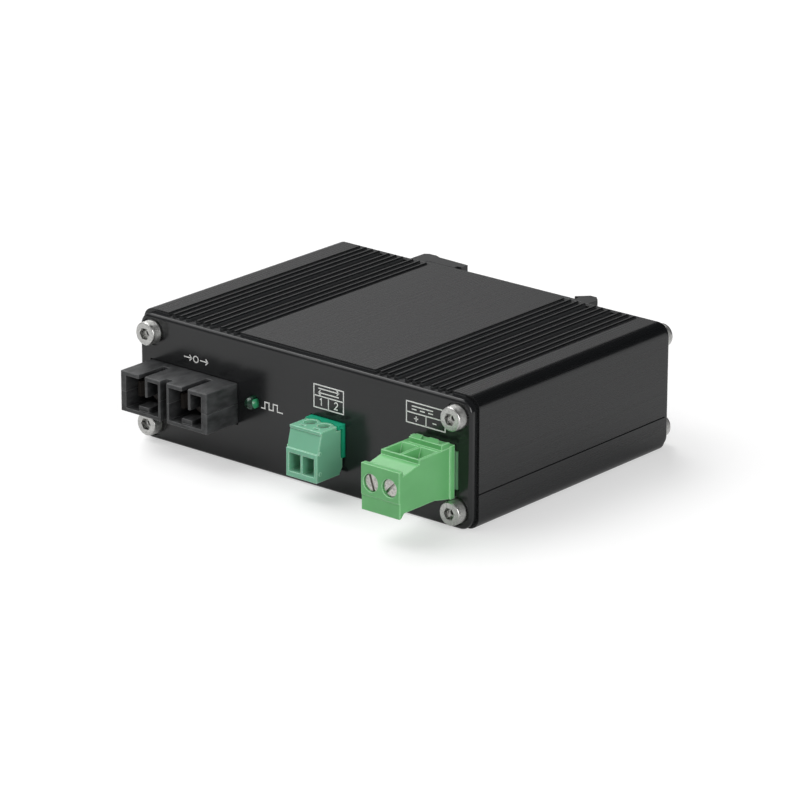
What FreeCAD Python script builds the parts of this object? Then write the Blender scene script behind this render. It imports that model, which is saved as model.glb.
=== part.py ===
import FreeCAD, Part

import math
import os

V = FreeCAD.Vector

# Fibre media converter: a ribbed two-shell aluminium case with a panel at each end, a duplex fibre
# receptacle, a lamp and two pull-off screw terminals at the front, and a rail clip at the rear.
# Millimetres. X runs along the front, Y to the rear, Z up. The origin is the middle of the underside.

# Case extrusions
case_width = 95.4
case_length = 64.8
case_height = 28.6          # to the floor of the grooves, the ribs stand above it
rib_height = 1.0
rib_width = 0.8
rib_edge_radius = 0.25
groove_width = 1.2
set_gap = 2.2               # the wider groove between two sets of ribs
ribs_per_set = 3
sets_per_side = 3
edge_flat = 7.3             # from the side of the case to the first groove
wall = 1.8
edge_radius = 2.7
inner_radius = 0.8
parting_height = 8.1
parting_bevel = 0.15        # the small bevels that make a groove of the line between the shells
tongue_thickness = 0.8
tongue_rise = 0.3           # the tongue's top above the finger over the board
finger_thickness = 0.8
slot_depth = 1.5            # how far ledge and finger reach over the board
ledge_thickness = 1.0
fit_gap = 0.1               # general fit between parts that slide together

# Screw ports in the corners of the extrusions, and the screws in them
port_side_inset = 4.3       # from the side of the case to a port's axis
port_low_inset = 4.1        # from the underside to a lower port's axis
port_high_inset = 3.5       # from the groove floor to an upper port's axis
port_radius = 2.75
port_slot = 1.2
screw_radius = 1.45
screw_play = 0.04
screw_length = 8.0
cap_head_radius = 2.66
cap_head_height = 3.0
cap_head_edge = 0.35        # the rounded front edge
shank_chamfer = 0.25
hex_across = 2.5
hex_depth = 1.5
panel_hole_radius = 1.7
head_seat_radius = 3.2
head_seat_depth = 0.4

# Panels
panel_thickness = 2.0
panel_side_inset = 0.6      # inside the sides of the case
panel_low_inset = 0.1       # above the underside
panel_top_inset = 0.6       # below the tops of the ribs
panel_corner_radius = 3.0
panel_edge_radius = 0.7

# Circuit board
board_thickness = 1.6
board_side_gap = 0.3
board_end_gap = 0.45
board_rest_gap = 0.35       # the board's underside above the lower screw ports
tail_length = 1.0           # how far a soldered lead shows under the board

# Fibre transceiver
sc_width = 25.4
sc_height = 9.3
sc_length = 38.5
sc_reach = 9.9              # in front of the panel
sc_side_inset = 3.8         # from the side of the case
sc_standoff = 0.45
sc_foot = 2.4
sc_post_radius = 0.95
port_pitch = 12.7
port_width = 9.6
port_height = 7.5
port_depth = 13.0
port_gap_width = 2.0
port_gap_depth = 2.3
key_width = 1.9
key_length = 8.0
key_rail_width = 0.6
tongue_setback = 0.6        # the guide tongue on a port's floor, from the mouth
tongue_length = 3.8
tongue_width = 3.0
tongue_height = 1.1
bulkhead = 1.4
bay_wall = 1.2
shelf_reach = 0.8           # the ledge that carries the transceiver's own board
barrel_radius = 2.4
barrel_reach = 7.6
ferrule_bore_radius = 1.27
latch_spread = 3.5
latch_width = 3.4
latch_thickness = 0.8
latch_reach = 9.6
latch_nib = 0.5
holder_plate = 1.0
flange_radius = 3.1
flange_thickness = 1.2
can_radius = 2.35
can_length = 5.5
inner_board_thickness = 1.0
pin_count = 9
pin_side_inset = 2.54       # from the transceiver's side to its first pin
pin_radius = 0.25
pin_row_inset = 4.6         # from the transceiver's rear face
pin_row_rise = 0.6          # the inner board above the cans' lowest line

# Lamp
led_radius = 1.5
led_reach = 2.2
led_length = 7.4
led_offset = 4.8            # from the receptacle's side
led_height = 6.5            # above the board
led_rim_radius = 1.9
led_rim_length = 1.0
led_holder_width = 4.8
led_holder_length = 4.2
led_lead_radius = 0.25
led_lead_pitch = 2.54

# Both headers and plugs
power_inset = 10.3          # from the side of the case to the power plug's middle
plug_spacing = 29.75        # from the power plug's middle to the data plug's
header_play = 0.15
cutout_gap = 0.25
moulded_edge = 0.15         # the small bevel round a moulding's outer edges
screw_running_gap = 0.06

# Data header and plug
data_pitch = 3.81
data_header_width = 9.4
data_header_height = 7.5
data_header_reach = 0.7
data_header_depth = 8.9
data_header_wall = 0.9
data_header_back = 1.6
data_roof_reach = 1.3
data_pin_size = 0.8
data_pin_reach = 5.2        # of the pin inside the header
data_width = 8.8
data_drop = 3.8             # the plug's underside below the board's top
data_height = 11.2
data_length = 8.7           # in front of the panel
data_lip_height = 6.4
data_top_setback = 1.2
data_top_plate = 0.65       # the thin plate that overhangs the sloping front
data_dot_radius = 0.4
data_dot_heights = (1.95, 6.5)
data_nose = 5.4             # behind the panel's face
data_wire_width = 3.3
data_wire_height = 4.2
data_wire_floor = 1.2
data_screw_axis = 3.5       # in front of the panel
data_turret_radius = 2.1
data_screw_radius = 1.0
data_screw_head_radius = 1.4
data_screw_head_height = 1.15
data_screw_recess = 0.8
data_shoulder = 1.05
data_cage_width = 3.1
data_cage_length = 2.6
data_cage_bar = 1.2
data_cage_floor = 0.7
data_cage_side = 0.5
data_cage_room = 3.0
data_travel = 2.2
data_strip = 0.5

# Power header and plug
power_pitch = 5.08
power_header_width = 12.4
power_header_height = 8.5
power_header_depth = 10.2
power_header_wall = 0.9
power_header_back = 1.6
power_pin_size = 1.0
power_pin_reach = 6.4
power_width = 10.5
power_drop = 1.9
power_front_height = 10.4
power_deck_height = 11.55
power_length = 17.9
power_front_plate = 1.3
power_front_drop = 1.0      # behind the front plate's top
power_deck_step = 1.0       # from the sloping top up to the wire entries
power_rear_gap = 0.25
power_flange = 1.35
power_flange_side = 0.3
power_nose = 7.2
power_screw_height = 6.4    # above the plug's underside
power_screw_hole = 2.0
power_screw_radius = 1.25
power_screw_head_radius = 1.85
power_screw_head_height = 1.6
power_screw_recess = 0.45
slot_angles = (-20.0, 45.0)  # how far each screw's slot leans to the right of upright
power_shoulder = 1.3
power_cage_width = 4.3
power_cage_height = 4.0
power_cage_bar = 1.4
power_cage_rear = 0.7
power_cage_side = 0.55
power_cage_room = 3.6
power_travel = 2.6
power_strip = 0.6
funnel_length = 5.9
funnel_width = 4.3
deck_front = 11.5           # from the panel to the front of the funnel deck
deck_rear = 4.2
comb_height = 1.15
comb_depth = 2.6
comb_wall = 0.5

# Parts on the circuit board
board_grid = 2.54
converter_length = 19.5
converter_width = 7.2
converter_height = 10.2
inductor_width = 12.0
inductor_height = 6.0
inductor_bevel = 1.5
capacitor_radius = 4.0
capacitor_height = 11.5
capacitor_bevel = 0.5
regulator_width = 6.6
regulator_length = 6.1
regulator_height = 2.3
regulator_tab = 1.5
regulator_tab_height = 0.6
fuse_radius = 5.0
fuse_thickness = 2.8
small_chip_width = 3.9
small_chip_length = 4.9
small_chip_height = 1.5
coupler_width = 6.5
coupler_length = 4.6
coupler_height = 3.4
controller_width = 10.0
controller_height = 1.4
chip_standoff = 0.2
chip_leg_reach = 1.0
chip_leg_height = 0.45
crystal_length = 10.6
crystal_width = 4.6
crystal_height = 3.5
diode_width = 3.0
diode_length = 4.4
diode_height = 2.3
chip_part_width = 1.6
chip_part_length = 3.2
resistor_height = 0.6
chip_capacitor_height = 1.2

# Rail clip
clip_height = 25.6
clip_end = 21.1             # the fixed hook's outer face
clip_base = 5.1
rail_slot = 1.3
hook_thickness = 2.7
fixed_nose = 15.6
rail_grip = 1.2             # how far a nose reaches over the rail's edge
rail_gap = 32.8             # between the two noses
latch_outer = 30.4
latch_head_length = 4.25
tongue_plate = 2.6
tongue_half = 7.0
tongue_play = 0.1
tongue_end = -3.0
clip_floor = 1.4
clip_travel = 2.5
spring_window = 13.0
spring_window_half = 2.7
spring_post = 2.0
spring_radius = 1.05
spring_wire = 0.2
spring_turns = 8
clip_screw_x = 8.0
clip_screw_spread = 7.5
flat_head_radius = 2.75
flat_head_height = 1.5

# Worked out from the values above
half_width = case_width / 2
half_length = case_length / 2
case_top = case_height + rib_height
front = -(half_length + panel_thickness)
rear = -front
port_x = half_width - port_side_inset
port_heights = (port_low_inset, case_height - port_high_inset)
middle_z = case_height / 2
board_under = port_low_inset + port_radius + board_rest_gap
board_top = board_under + board_thickness
finger_top = board_top + fit_gap + finger_thickness
tongue_top = finger_top + tongue_rise
inner_half = half_width - wall
sc_x = -half_width + sc_side_inset + sc_width / 2
sc_front = front - sc_reach
sc_low = board_top + sc_standoff
sc_middle = sc_low + sc_height / 2
bulkhead_front = sc_front + port_depth
bulkhead_rear = bulkhead_front + bulkhead
flange_rear = bulkhead_rear + flange_thickness
can_rear = flange_rear + can_length
inner_board_under = sc_middle - can_radius + pin_row_rise
pin_pitch = (sc_width - 2 * pin_side_inset) / (pin_count - 1)
led_x = sc_x + sc_width / 2 + led_offset
led_z = board_top + led_height
power_x = half_width - power_inset
data_x = power_x - plug_spacing
data_poles = (data_x - data_pitch / 2, data_x + data_pitch / 2)
power_poles = (power_x - power_pitch / 2, power_x + power_pitch / 2)
clip_low = middle_z - clip_height / 2
clip_high = middle_z + clip_height / 2

DIRECTION = {"X": V(1, 0, 0), "Y": V(0, 1, 0), "Z": V(0, 0, 1)}


def spot(axis, across, along):
    """The point at a distance along an axis, with the other two coordinates in X, Y, Z order."""
    a, b = across
    return {"X": V(along, a, b), "Y": V(a, along, b), "Z": V(a, b, along)}[axis]


def block(x, y, z):
    """A box between three pairs of limits."""
    return Part.makeBox(x[1] - x[0], y[1] - y[0], z[1] - z[0], V(x[0], y[0], z[0]))


def about(middle, half):
    """The pair of limits a half width either side of a middle."""
    return (middle - half, middle + half)


def rod(axis, across, along, radius):
    """A round bar along an axis."""
    start, end = along
    return Part.makeCylinder(radius, end - start, spot(axis, across, start), DIRECTION[axis])


def prism(axis, outline, along):
    """A straight-sided outline, given across an axis, drawn out along it."""
    start, end = along
    corners = [spot(axis, point, start) for point in outline]
    face = Part.Face(Part.makePolygon(corners + corners[:1]))
    return face.extrude(DIRECTION[axis] * (end - start))


def edges_along(shape, axis):
    """The straight edges that run along an axis."""
    return [edge for edge in shape.Edges
            if isinstance(edge.Curve, Part.Line) and abs(edge.Curve.Direction.dot(DIRECTION[axis])) > 0.999]


def edges_at(shape, axis, place):
    """The edges that lie wholly in the plane at one place on an axis."""
    index = "XYZ".index(axis)
    found = []
    for edge in shape.Edges:
        points = edge.discretize(5)
        if all(abs(point[index] - place) < 1e-4 for point in points):
            found.append(edge)
    return found


def rounded_bar(axis, first, second, along, radius):
    """A bar along an axis, with its four long edges rounded."""
    limits = {"X": (along, first, second), "Y": (first, along, second), "Z": (first, second, along)}[axis]
    bar = block(*limits)
    return bar.makeFillet(radius, edges_along(bar, axis))


def joined(shapes):
    """One solid made of several that touch or overlap."""
    first, rest = shapes[0], list(shapes[1:])
    return first.fuse(rest).removeSplitter() if rest else first


def without(shape, cutters):
    """A shape less a list of others."""
    return shape.cut(list(cutters)).removeSplitter()


def side_outlines(shape, axis, along):
    """The edges round both ends of a bar along an axis."""
    return edges_at(shape, axis, along[0]) + edges_at(shape, axis, along[1])


def turned_about(shape):
    """A copy turned half round about the upright through the origin."""
    copy = shape.copy()
    copy.rotate(V(0, 0, 0), V(0, 0, 1), 180)
    return copy


# Case

def case_outside():
    """The full bar that both shells are parts of."""
    return rounded_bar("Y", (-half_width, half_width), (0, case_top), (-half_length, half_length), edge_radius)


def case_inside():
    """The hollow between the walls."""
    sides = (-inner_half, inner_half)
    return rounded_bar("Y", sides, (wall, case_height - wall), (-half_length, half_length), inner_radius)


def rib_places():
    """How far in from the side of the case each rib's middle lies."""
    places = []
    inward = edge_flat
    for rib_set in range(sets_per_side):
        for rib in range(ribs_per_set):
            gap = set_gap if rib == 0 and rib_set > 0 else groove_width
            places.append(inward + gap + rib_width / 2)
            inward += gap + rib_width
    return places, inward + groove_width


def groove_fields():
    """What is cut from the top of the case: two shallow beds, less the ribs that stand in them."""
    places, inner_end = rib_places()
    beds = []
    for side in (-1, 1):
        limits = sorted((side * (half_width - edge_flat), side * (half_width - inner_end)))
        ribs = []
        for place in places:
            middle = side * (half_width - place)
            rib = block(about(middle, rib_width / 2), (-half_length, half_length), (case_height, case_top))
            top_edges = [edge for edge in edges_along(rib, "Y") if edge.CenterOfMass.z > case_top - 0.01]
            ribs.append(rib.makeFillet(rib_edge_radius, top_edges))
        bed = block(limits, (-half_length, half_length), (case_height, case_top + 1))
        beds.append(bed.cut(ribs))
    return beds


def screw_port(x, z):
    """The round boss of one screw port, and what is cut from it: the bore and the slot beside it."""
    run = (-half_length, half_length)
    boss = rod("Y", (x, z), run, port_radius)
    bore = rod("Y", (x, z), run, screw_radius + screw_play)
    inward = x - math.copysign(port_radius + 1, x)
    slot = block(sorted((x, inward)), run, about(z, port_slot / 2))
    return boss, bore, slot


def shell_with_ports(shell, height):
    """A shell with the two screw ports at one height added and bored."""
    ports = [screw_port(side * port_x, height) for side in (-1, 1)]
    solid = joined([shell] + [port[0] for port in ports])
    return without(solid, [cut for port in ports for cut in port[1:]])


def bevelled_at_parting(shell):
    """A shell with a small bevel on its two outer edges where it meets the other one."""
    outer = [edge for edge in edges_along(shell, "Y")
             if abs(edge.CenterOfMass.z - parting_height) < 1e-4
             and abs(abs(edge.CenterOfMass.x) - half_width) < 1e-4]
    return shell.makeChamfer(parting_bevel, outer)


def upper_shell():
    body = case_outside().common(block((-half_width, half_width), (-half_length, half_length),
                                       (parting_height, case_top)))
    rebates = [block(sorted((side * inner_half, side * (inner_half + tongue_thickness + fit_gap))),
                     (-half_length, half_length), (parting_height, tongue_top + fit_gap))
               for side in (-1, 1)]
    shell = without(body, [case_inside()] + rebates + groove_fields())
    return bevelled_at_parting(shell_with_ports(shell, port_heights[1]))


def lower_shell():
    run = (-half_length, half_length)
    tray = case_outside().common(block((-half_width, half_width), run, (0, parting_height)))
    tray = without(tray, [case_inside()])
    added = []
    for side in (-1, 1):
        reach = sorted((side * inner_half, side * (inner_half - slot_depth)))
        added.append(block(reach, run, (board_under - ledge_thickness, board_under)))
        added.append(block(reach, run, (board_top + fit_gap, finger_top)))
        added.append(block(sorted((side * inner_half, side * (inner_half + tongue_thickness))), run,
                           (board_under - ledge_thickness, tongue_top)))
    return bevelled_at_parting(shell_with_ports(joined([tray] + added), port_heights[0]))


# Panels and their screws

def panel_blank():
    """A plain front panel, its outer edge rounded, with the four seated screw holes."""
    sides = (-half_width + panel_side_inset, half_width - panel_side_inset)
    heights = (panel_low_inset, case_top - panel_top_inset)
    plate = rounded_bar("Y", sides, heights, (front, front + panel_thickness), panel_corner_radius)
    plate = plate.makeFillet(panel_edge_radius, edges_at(plate, "Y", front))
    cutters = []
    for x in (-port_x, port_x):
        for z in port_heights:
            cutters.append(rod("Y", (x, z), (front, front + panel_thickness), panel_hole_radius))
            cutters.append(rod("Y", (x, z), (front, front + head_seat_depth), head_seat_radius))
    return without(plate, cutters)


def front_panel():
    through = (front - 1, front + panel_thickness + 1)
    receptacle = block(about(sc_x, sc_width / 2 + cutout_gap), through,
                       about(sc_middle, sc_height / 2 + cutout_gap))
    lamp = rod("Y", (led_x, led_z), through, led_radius + fit_gap)
    data = block(about(data_x, data_header_width / 2 + cutout_gap), through,
                 (board_top - cutout_gap, board_top + data_header_height + cutout_gap))
    power = block(about(power_x, power_header_width / 2 + cutout_gap), through,
                  (board_top - cutout_gap, board_top + power_header_height + cutout_gap))
    return without(panel_blank(), [receptacle, lamp, data, power])


def rear_panel():
    plate = turned_about(panel_blank())
    holes = [rod("Y", (clip_screw_x, middle_z + side * clip_screw_spread), (half_length, rear),
                 screw_radius + screw_play) for side in (-1, 1)]
    return without(plate, holes)


def hex_outline(across_flats, middle):
    """The six corners of a hexagon about a middle point."""
    radius = across_flats / math.sqrt(3)
    return [(middle[0] + radius * math.cos(math.radians(60 * k)),
             middle[1] + radius * math.sin(math.radians(60 * k))) for k in range(6)]


def cap_screw(x, z):
    """A socket-head cap screw seated in the front panel, pointing to the rear."""
    seat = front + head_seat_depth
    face = seat - cap_head_height
    head = rod("Y", (x, z), (face, seat), cap_head_radius)
    head = head.makeFillet(cap_head_edge, edges_at(head, "Y", face))
    shank = rod("Y", (x, z), (seat, seat + screw_length), screw_radius)
    shank = shank.makeChamfer(shank_chamfer, edges_at(shank, "Y", seat + screw_length))
    socket = prism("Y", hex_outline(hex_across, (x, z)), (face, face + hex_depth))
    return without(joined([head, shank]), [socket])


def front_panel_screws():
    return [cap_screw(x, z) for x in (-port_x, port_x) for z in port_heights]


def rear_panel_screws():
    return [turned_about(screw) for screw in front_panel_screws()]


# Circuit board

def pin_rows():
    """The places of the leads that pass through the board: (x, y, hole radius)."""
    places = []
    row_y = sc_front + sc_length - pin_row_inset
    for k in range(pin_count):
        pin_x = sc_x - sc_width / 2 + pin_side_inset + k * pin_pitch
        places.append((pin_x, row_y, pin_radius + fit_gap))
    for side in (-1, 1):
        places.append((sc_x + side * (sc_width / 2 - sc_foot), post_y(), sc_post_radius + fit_gap))
        places.append((led_x + side * led_lead_pitch / 2, led_tail_y(), led_lead_radius + fit_gap))
    places += [(x, data_tail_y(), 0.75 * data_pin_size) for x in data_poles]
    places += [(x, power_tail_y(), 0.75 * power_pin_size) for x in power_poles]
    return places


def circuit_board():
    ends = half_length - board_end_gap
    sides = inner_half - board_side_gap
    board = block((-sides, sides), (-ends, ends), (board_under, board_top))
    holes = [rod("Z", (x, y), (board_under, board_top), radius) for x, y, radius in pin_rows()]
    return without(board, holes)


# Fibre transceiver

def post_y():
    """Where the receptacle's two round posts stand in the board."""
    return sc_front + port_depth + bulkhead + flange_thickness


def port_middles():
    return (sc_x - port_pitch / 2, sc_x + port_pitch / 2)


def transceiver_housing():
    """The whole housing, before it is split into its halves."""
    sides = about(sc_x, sc_width / 2)
    length = (sc_front, sc_front + sc_length)
    top = sc_low + sc_height
    body = block(sides, length, (sc_low, top))
    body = body.makeChamfer(moulded_edge, edges_along(body, "Y") + edges_at(body, "Y", sc_front))
    cutters = []
    for x in port_middles():
        cutters.append(block(about(x, port_width / 2), (sc_front - 1, bulkhead_front),
                             about(sc_middle, port_height / 2)))
        cutters.append(block(about(x, key_width / 2), (sc_front - 1, sc_front + key_length),
                             (sc_middle, top + 1)))
        cutters.append(rod("Y", (x, sc_middle), (bulkhead_front - 1, bulkhead_rear + 1),
                           barrel_radius))
    cutters.append(block(about(sc_x, port_gap_width / 2), (sc_front - 1, sc_front + port_gap_depth),
                         (sc_low - 1, top + 1)))
    cutters.append(block((sides[0] + bay_wall, sides[1] - bay_wall), (bulkhead_rear, length[1] - bay_wall),
                         about(sc_middle, port_height / 2)))
    pin_slot = (pin_count - 1) * pin_pitch / 2 + 3 * pin_radius
    row_y = length[1] - pin_row_inset
    cutters.append(block(about(sc_x, pin_slot), about(row_y, 3 * pin_radius), (sc_low - 1, sc_middle)))
    rails = [block((x + key_width / 2, x + key_width / 2 + key_rail_width),
                   (sc_front, bulkhead_front - barrel_reach - port_gap_depth / 2),
                   (sc_middle, sc_middle + port_height / 2))
             for x in port_middles()]
    return joined([without(body, cutters)] + rails)


def bevelled_at_seam(half):
    """Half of the housing with a small bevel on its sides where it meets the other half."""
    seam = [edge for edge in edges_along(half, "Y")
            if abs(edge.CenterOfMass.z - sc_middle) < 1e-4
            and abs(abs(edge.CenterOfMass.x - sc_x) - sc_width / 2) < 1e-4]
    return half.makeChamfer(moulded_edge, seam)


def transceiver_upper_housing():
    above = block(about(sc_x, sc_width), (sc_front, sc_front + sc_length), (sc_middle, sc_middle + sc_height))
    return bevelled_at_seam(transceiver_housing().common(above))


def transceiver_lower_housing():
    below = block(about(sc_x, sc_width), (sc_front, sc_front + sc_length), (sc_middle - sc_height, sc_middle))
    lower = bevelled_at_seam(transceiver_housing().common(below))
    feet = []
    corner_x = sc_width / 2 - sc_foot
    for side in (-1, 1):
        x = sc_x + side * corner_x
        feet.append(rod("Z", (x, post_y()), (board_under, sc_low), sc_post_radius))
        for y in (front + panel_thickness + 2 * sc_foot, sc_front + sc_length - sc_foot):
            feet.append(block(about(x, sc_foot / 2), about(y, sc_foot / 2), (board_top, sc_low)))
    floor_z = sc_middle - port_height / 2
    for x in port_middles():
        feet.append(block(about(x, tongue_width / 2),
                          (sc_front + tongue_setback, sc_front + tongue_setback + tongue_length),
                          (floor_z, floor_z + tongue_height)))
    shelf_top = inner_board_under
    for side in (-1, 1):
        inner = sc_x + side * (sc_width / 2 - bay_wall)
        feet.append(block(sorted((inner, inner - side * shelf_reach)),
                          (can_rear + fit_gap, sc_front + sc_length - bay_wall),
                          (sc_low, shelf_top)))
    return joined([lower] + feet)


def ferrule_holders():
    """The barrel that takes a ferrule, with its two latch arms, one for each port."""
    holders = []
    for x in port_middles():
        start = bulkhead_front - barrel_reach
        barrel = rod("Y", (x, sc_middle), (start, flange_rear), barrel_radius)
        collar = rod("Y", (x, sc_middle), (bulkhead_rear, flange_rear), flange_radius)
        plate = block(about(x, latch_spread + latch_thickness), (bulkhead_front - holder_plate, bulkhead_front),
                      about(sc_middle, latch_width / 2))
        arms = []
        for side in (-1, 1):
            inner = x + side * latch_spread
            arms.append(block(sorted((inner, inner + side * latch_thickness)),
                              (bulkhead_front - latch_reach, bulkhead_front),
                              about(sc_middle, latch_width / 2)))
            tip = bulkhead_front - latch_reach
            nib = [(inner, tip), (inner, tip + 3 * latch_nib), (inner - side * latch_nib, tip + 2 * latch_nib)]
            arms.append(prism("Z", nib, about(sc_middle, latch_width / 2)))
        bore = rod("Y", (x, sc_middle), (start - 1, flange_rear - flange_thickness), ferrule_bore_radius)
        holders.append(without(joined([barrel, collar, plate] + arms), [bore]))
    return holders


def transceiver_optics():
    """The sender's and the receiver's metal cans, each with two leads over the inner board."""
    cans = []
    for x in port_middles():
        can = rod("Y", (x, sc_middle), (flange_rear, can_rear), can_radius)
        lead_z = inner_board_under + inner_board_thickness + pin_radius
        leads = [rod("Y", (x + side * can_radius / 2, lead_z), (can_rear, can_rear + 3), pin_radius)
                 for side in (-1, 1)]
        cans.append(joined([can] + leads))
    return cans


def transceiver_board():
    sides = about(sc_x, sc_width / 2 - bay_wall - fit_gap)
    length = (can_rear + 2 * fit_gap, sc_front + sc_length - bay_wall - fit_gap)
    board = block(sides, length, (inner_board_under, inner_board_under + inner_board_thickness))
    holes = [rod("Z", (x, y), (inner_board_under, inner_board_under + inner_board_thickness), pin_radius)
             for x, y, _ in pin_rows()[:pin_count]]
    return without(board, holes)


def transceiver_pins():
    heights = (board_under - tail_length, inner_board_under + inner_board_thickness + pin_radius)
    return [rod("Z", (x, y), heights, pin_radius) for x, y, _ in pin_rows()[:pin_count]]


# Lamp

def led_tail_y():
    return front - led_reach + led_length + 2.0


def led_lens():
    """A domed lamp with the usual rim at its foot."""
    dome_y = front - led_reach + led_radius
    foot = front - led_reach + led_length
    body = rod("Y", (led_x, led_z), (dome_y, foot), led_radius)
    dome = Part.makeSphere(led_radius, V(led_x, dome_y, led_z))
    rim = rod("Y", (led_x, led_z), (foot - led_rim_length, foot), led_rim_radius)
    return joined([body, dome, rim])


def led_holder():
    foot = front - led_reach + led_length
    rim_front = foot - led_rim_length
    start = rim_front - led_holder_length / 2
    body = block(about(led_x, led_holder_width / 2), (start, start + led_holder_length),
                 (board_top, led_z + led_holder_width / 2))
    bore = rod("Y", (led_x, led_z), (start - 1, rim_front), led_radius)
    seat = rod("Y", (led_x, led_z), (rim_front, start + led_holder_length + 1), led_rim_radius)
    return without(body, [bore, seat])


def led_leads():
    foot = front - led_reach + led_length
    leads = []
    for side in (-1, 1):
        x = led_x + side * led_lead_pitch / 2
        back = rod("Y", (x, led_z), (foot, led_tail_y()), led_lead_radius)
        bend = Part.makeSphere(led_lead_radius, V(x, led_tail_y(), led_z))
        down = rod("Z", (x, led_tail_y()), (board_under - tail_length, led_z), led_lead_radius)
        leads.append(joined([back, bend, down]))
    return leads


# Headers

def header_pin(x, y_tip, y_back, z, size):
    """A square pin that runs to the rear and turns down through the board."""
    half = size / 2
    level = block(about(x, half), (y_tip, y_back + half), about(z, half))
    down = block(about(x, half), about(y_back, half), (board_under - tail_length, z + half))
    return joined([level, down])


def data_tail_y():
    return front - data_header_reach + data_header_depth + data_pin_size


def power_tail_y():
    return front + power_header_depth + power_pin_size


def data_pin_z():
    return board_top + data_header_height / 2


def power_pin_z():
    return board_top + power_header_height / 2


def data_header_pins():
    inner_back = front - data_header_reach + data_header_depth - data_header_back
    return [header_pin(x, inner_back - data_pin_reach, data_tail_y(), data_pin_z(), data_pin_size)
            for x in data_poles]


def power_header_pins():
    inner_back = front + power_header_depth - power_header_back
    return [header_pin(x, inner_back - power_pin_reach, power_tail_y(), power_pin_z(), power_pin_size)
            for x in power_poles]


def data_header():
    """The open-fronted socket, its roof scalloped round the plug's screw turrets."""
    face = front - data_header_reach
    top = board_top + data_header_height
    body = block(about(data_x, data_header_width / 2), (face, face + data_header_depth), (board_top, top))
    roof = block(about(data_x, data_header_width / 2), (face - data_roof_reach, face),
                 (top - data_header_wall, top))
    cavity = block(about(data_x, data_header_width / 2 - data_header_wall),
                   (face - 1, face + data_header_depth - data_header_back),
                   (board_top + data_header_wall, top - data_header_wall))
    scallops = [rod("Z", (x, front - data_screw_axis), (top - data_header_wall, top + 1),
                    data_turret_radius + header_play) for x in data_poles]
    return without(joined([body, roof]), [cavity] + scallops + data_header_pins())


def power_header():
    top = board_top + power_header_height
    body = block(about(power_x, power_header_width / 2), (front, front + power_header_depth), (board_top, top))
    cavity = block(about(power_x, power_header_width / 2 - power_header_wall),
                   (front - 1, front + power_header_depth - power_header_back),
                   (board_top + power_header_wall, top - power_header_wall))
    return without(body, [cavity] + power_header_pins())


# Data plug. Distances that start with d_ are worked out from the plug's own sizes.

d_under = board_top - data_drop
d_top = d_under + data_height
d_face = front - data_length
d_axis_y = front - data_screw_axis
d_header_face = front - data_header_reach
d_roof_front = d_header_face - data_roof_reach
d_rear = d_header_face - header_play
d_head_top = d_top - data_screw_recess
d_shoulder_top = d_head_top - data_screw_head_height - screw_running_gap
d_cavity_top = d_shoulder_top - data_shoulder
d_bar_low = d_cavity_top - fit_gap - data_travel - data_cage_bar
d_window_low = d_bar_low - data_cage_room
d_cage_low = d_window_low - data_cage_floor
d_strip_top = d_bar_low - 2 * fit_gap
d_strip_low = d_strip_top - data_strip
d_cage_y = about(d_axis_y, data_cage_length / 2)
d_web_front = d_cage_y[1] + 2 * fit_gap


def data_contact(x, solid):
    """One contact: a strip under the screw, a web up to pin height, and a box round the pin."""
    width = about(x, data_cage_width / 2 - data_cage_side - header_play)
    pin_z = data_pin_z()
    half_box = data_pin_size / 2 + 0.55
    strip = block(width, (d_cage_y[0] - fit_gap, d_web_front + data_strip), (d_strip_low, d_strip_top))
    web = block(width, (d_web_front, d_web_front + data_strip), (d_strip_low, pin_z + data_strip / 2))
    box_front = front - 0.5
    tail = block(width, (d_web_front, box_front), about(pin_z, data_strip / 2))
    box_end = front + data_nose - 0.5
    box = block(about(x, half_box), (box_front, box_end), about(pin_z, half_box))
    shape = joined([strip, web, tail, box])
    if solid:
        return shape
    bore = block(about(x, data_pin_size / 2 + fit_gap), (box_front, box_end + 1),
                 about(pin_z, data_pin_size / 2 + fit_gap))
    return without(shape, [bore])


def data_plug_contacts():
    return [data_contact(x, False) for x in data_poles]


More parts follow.
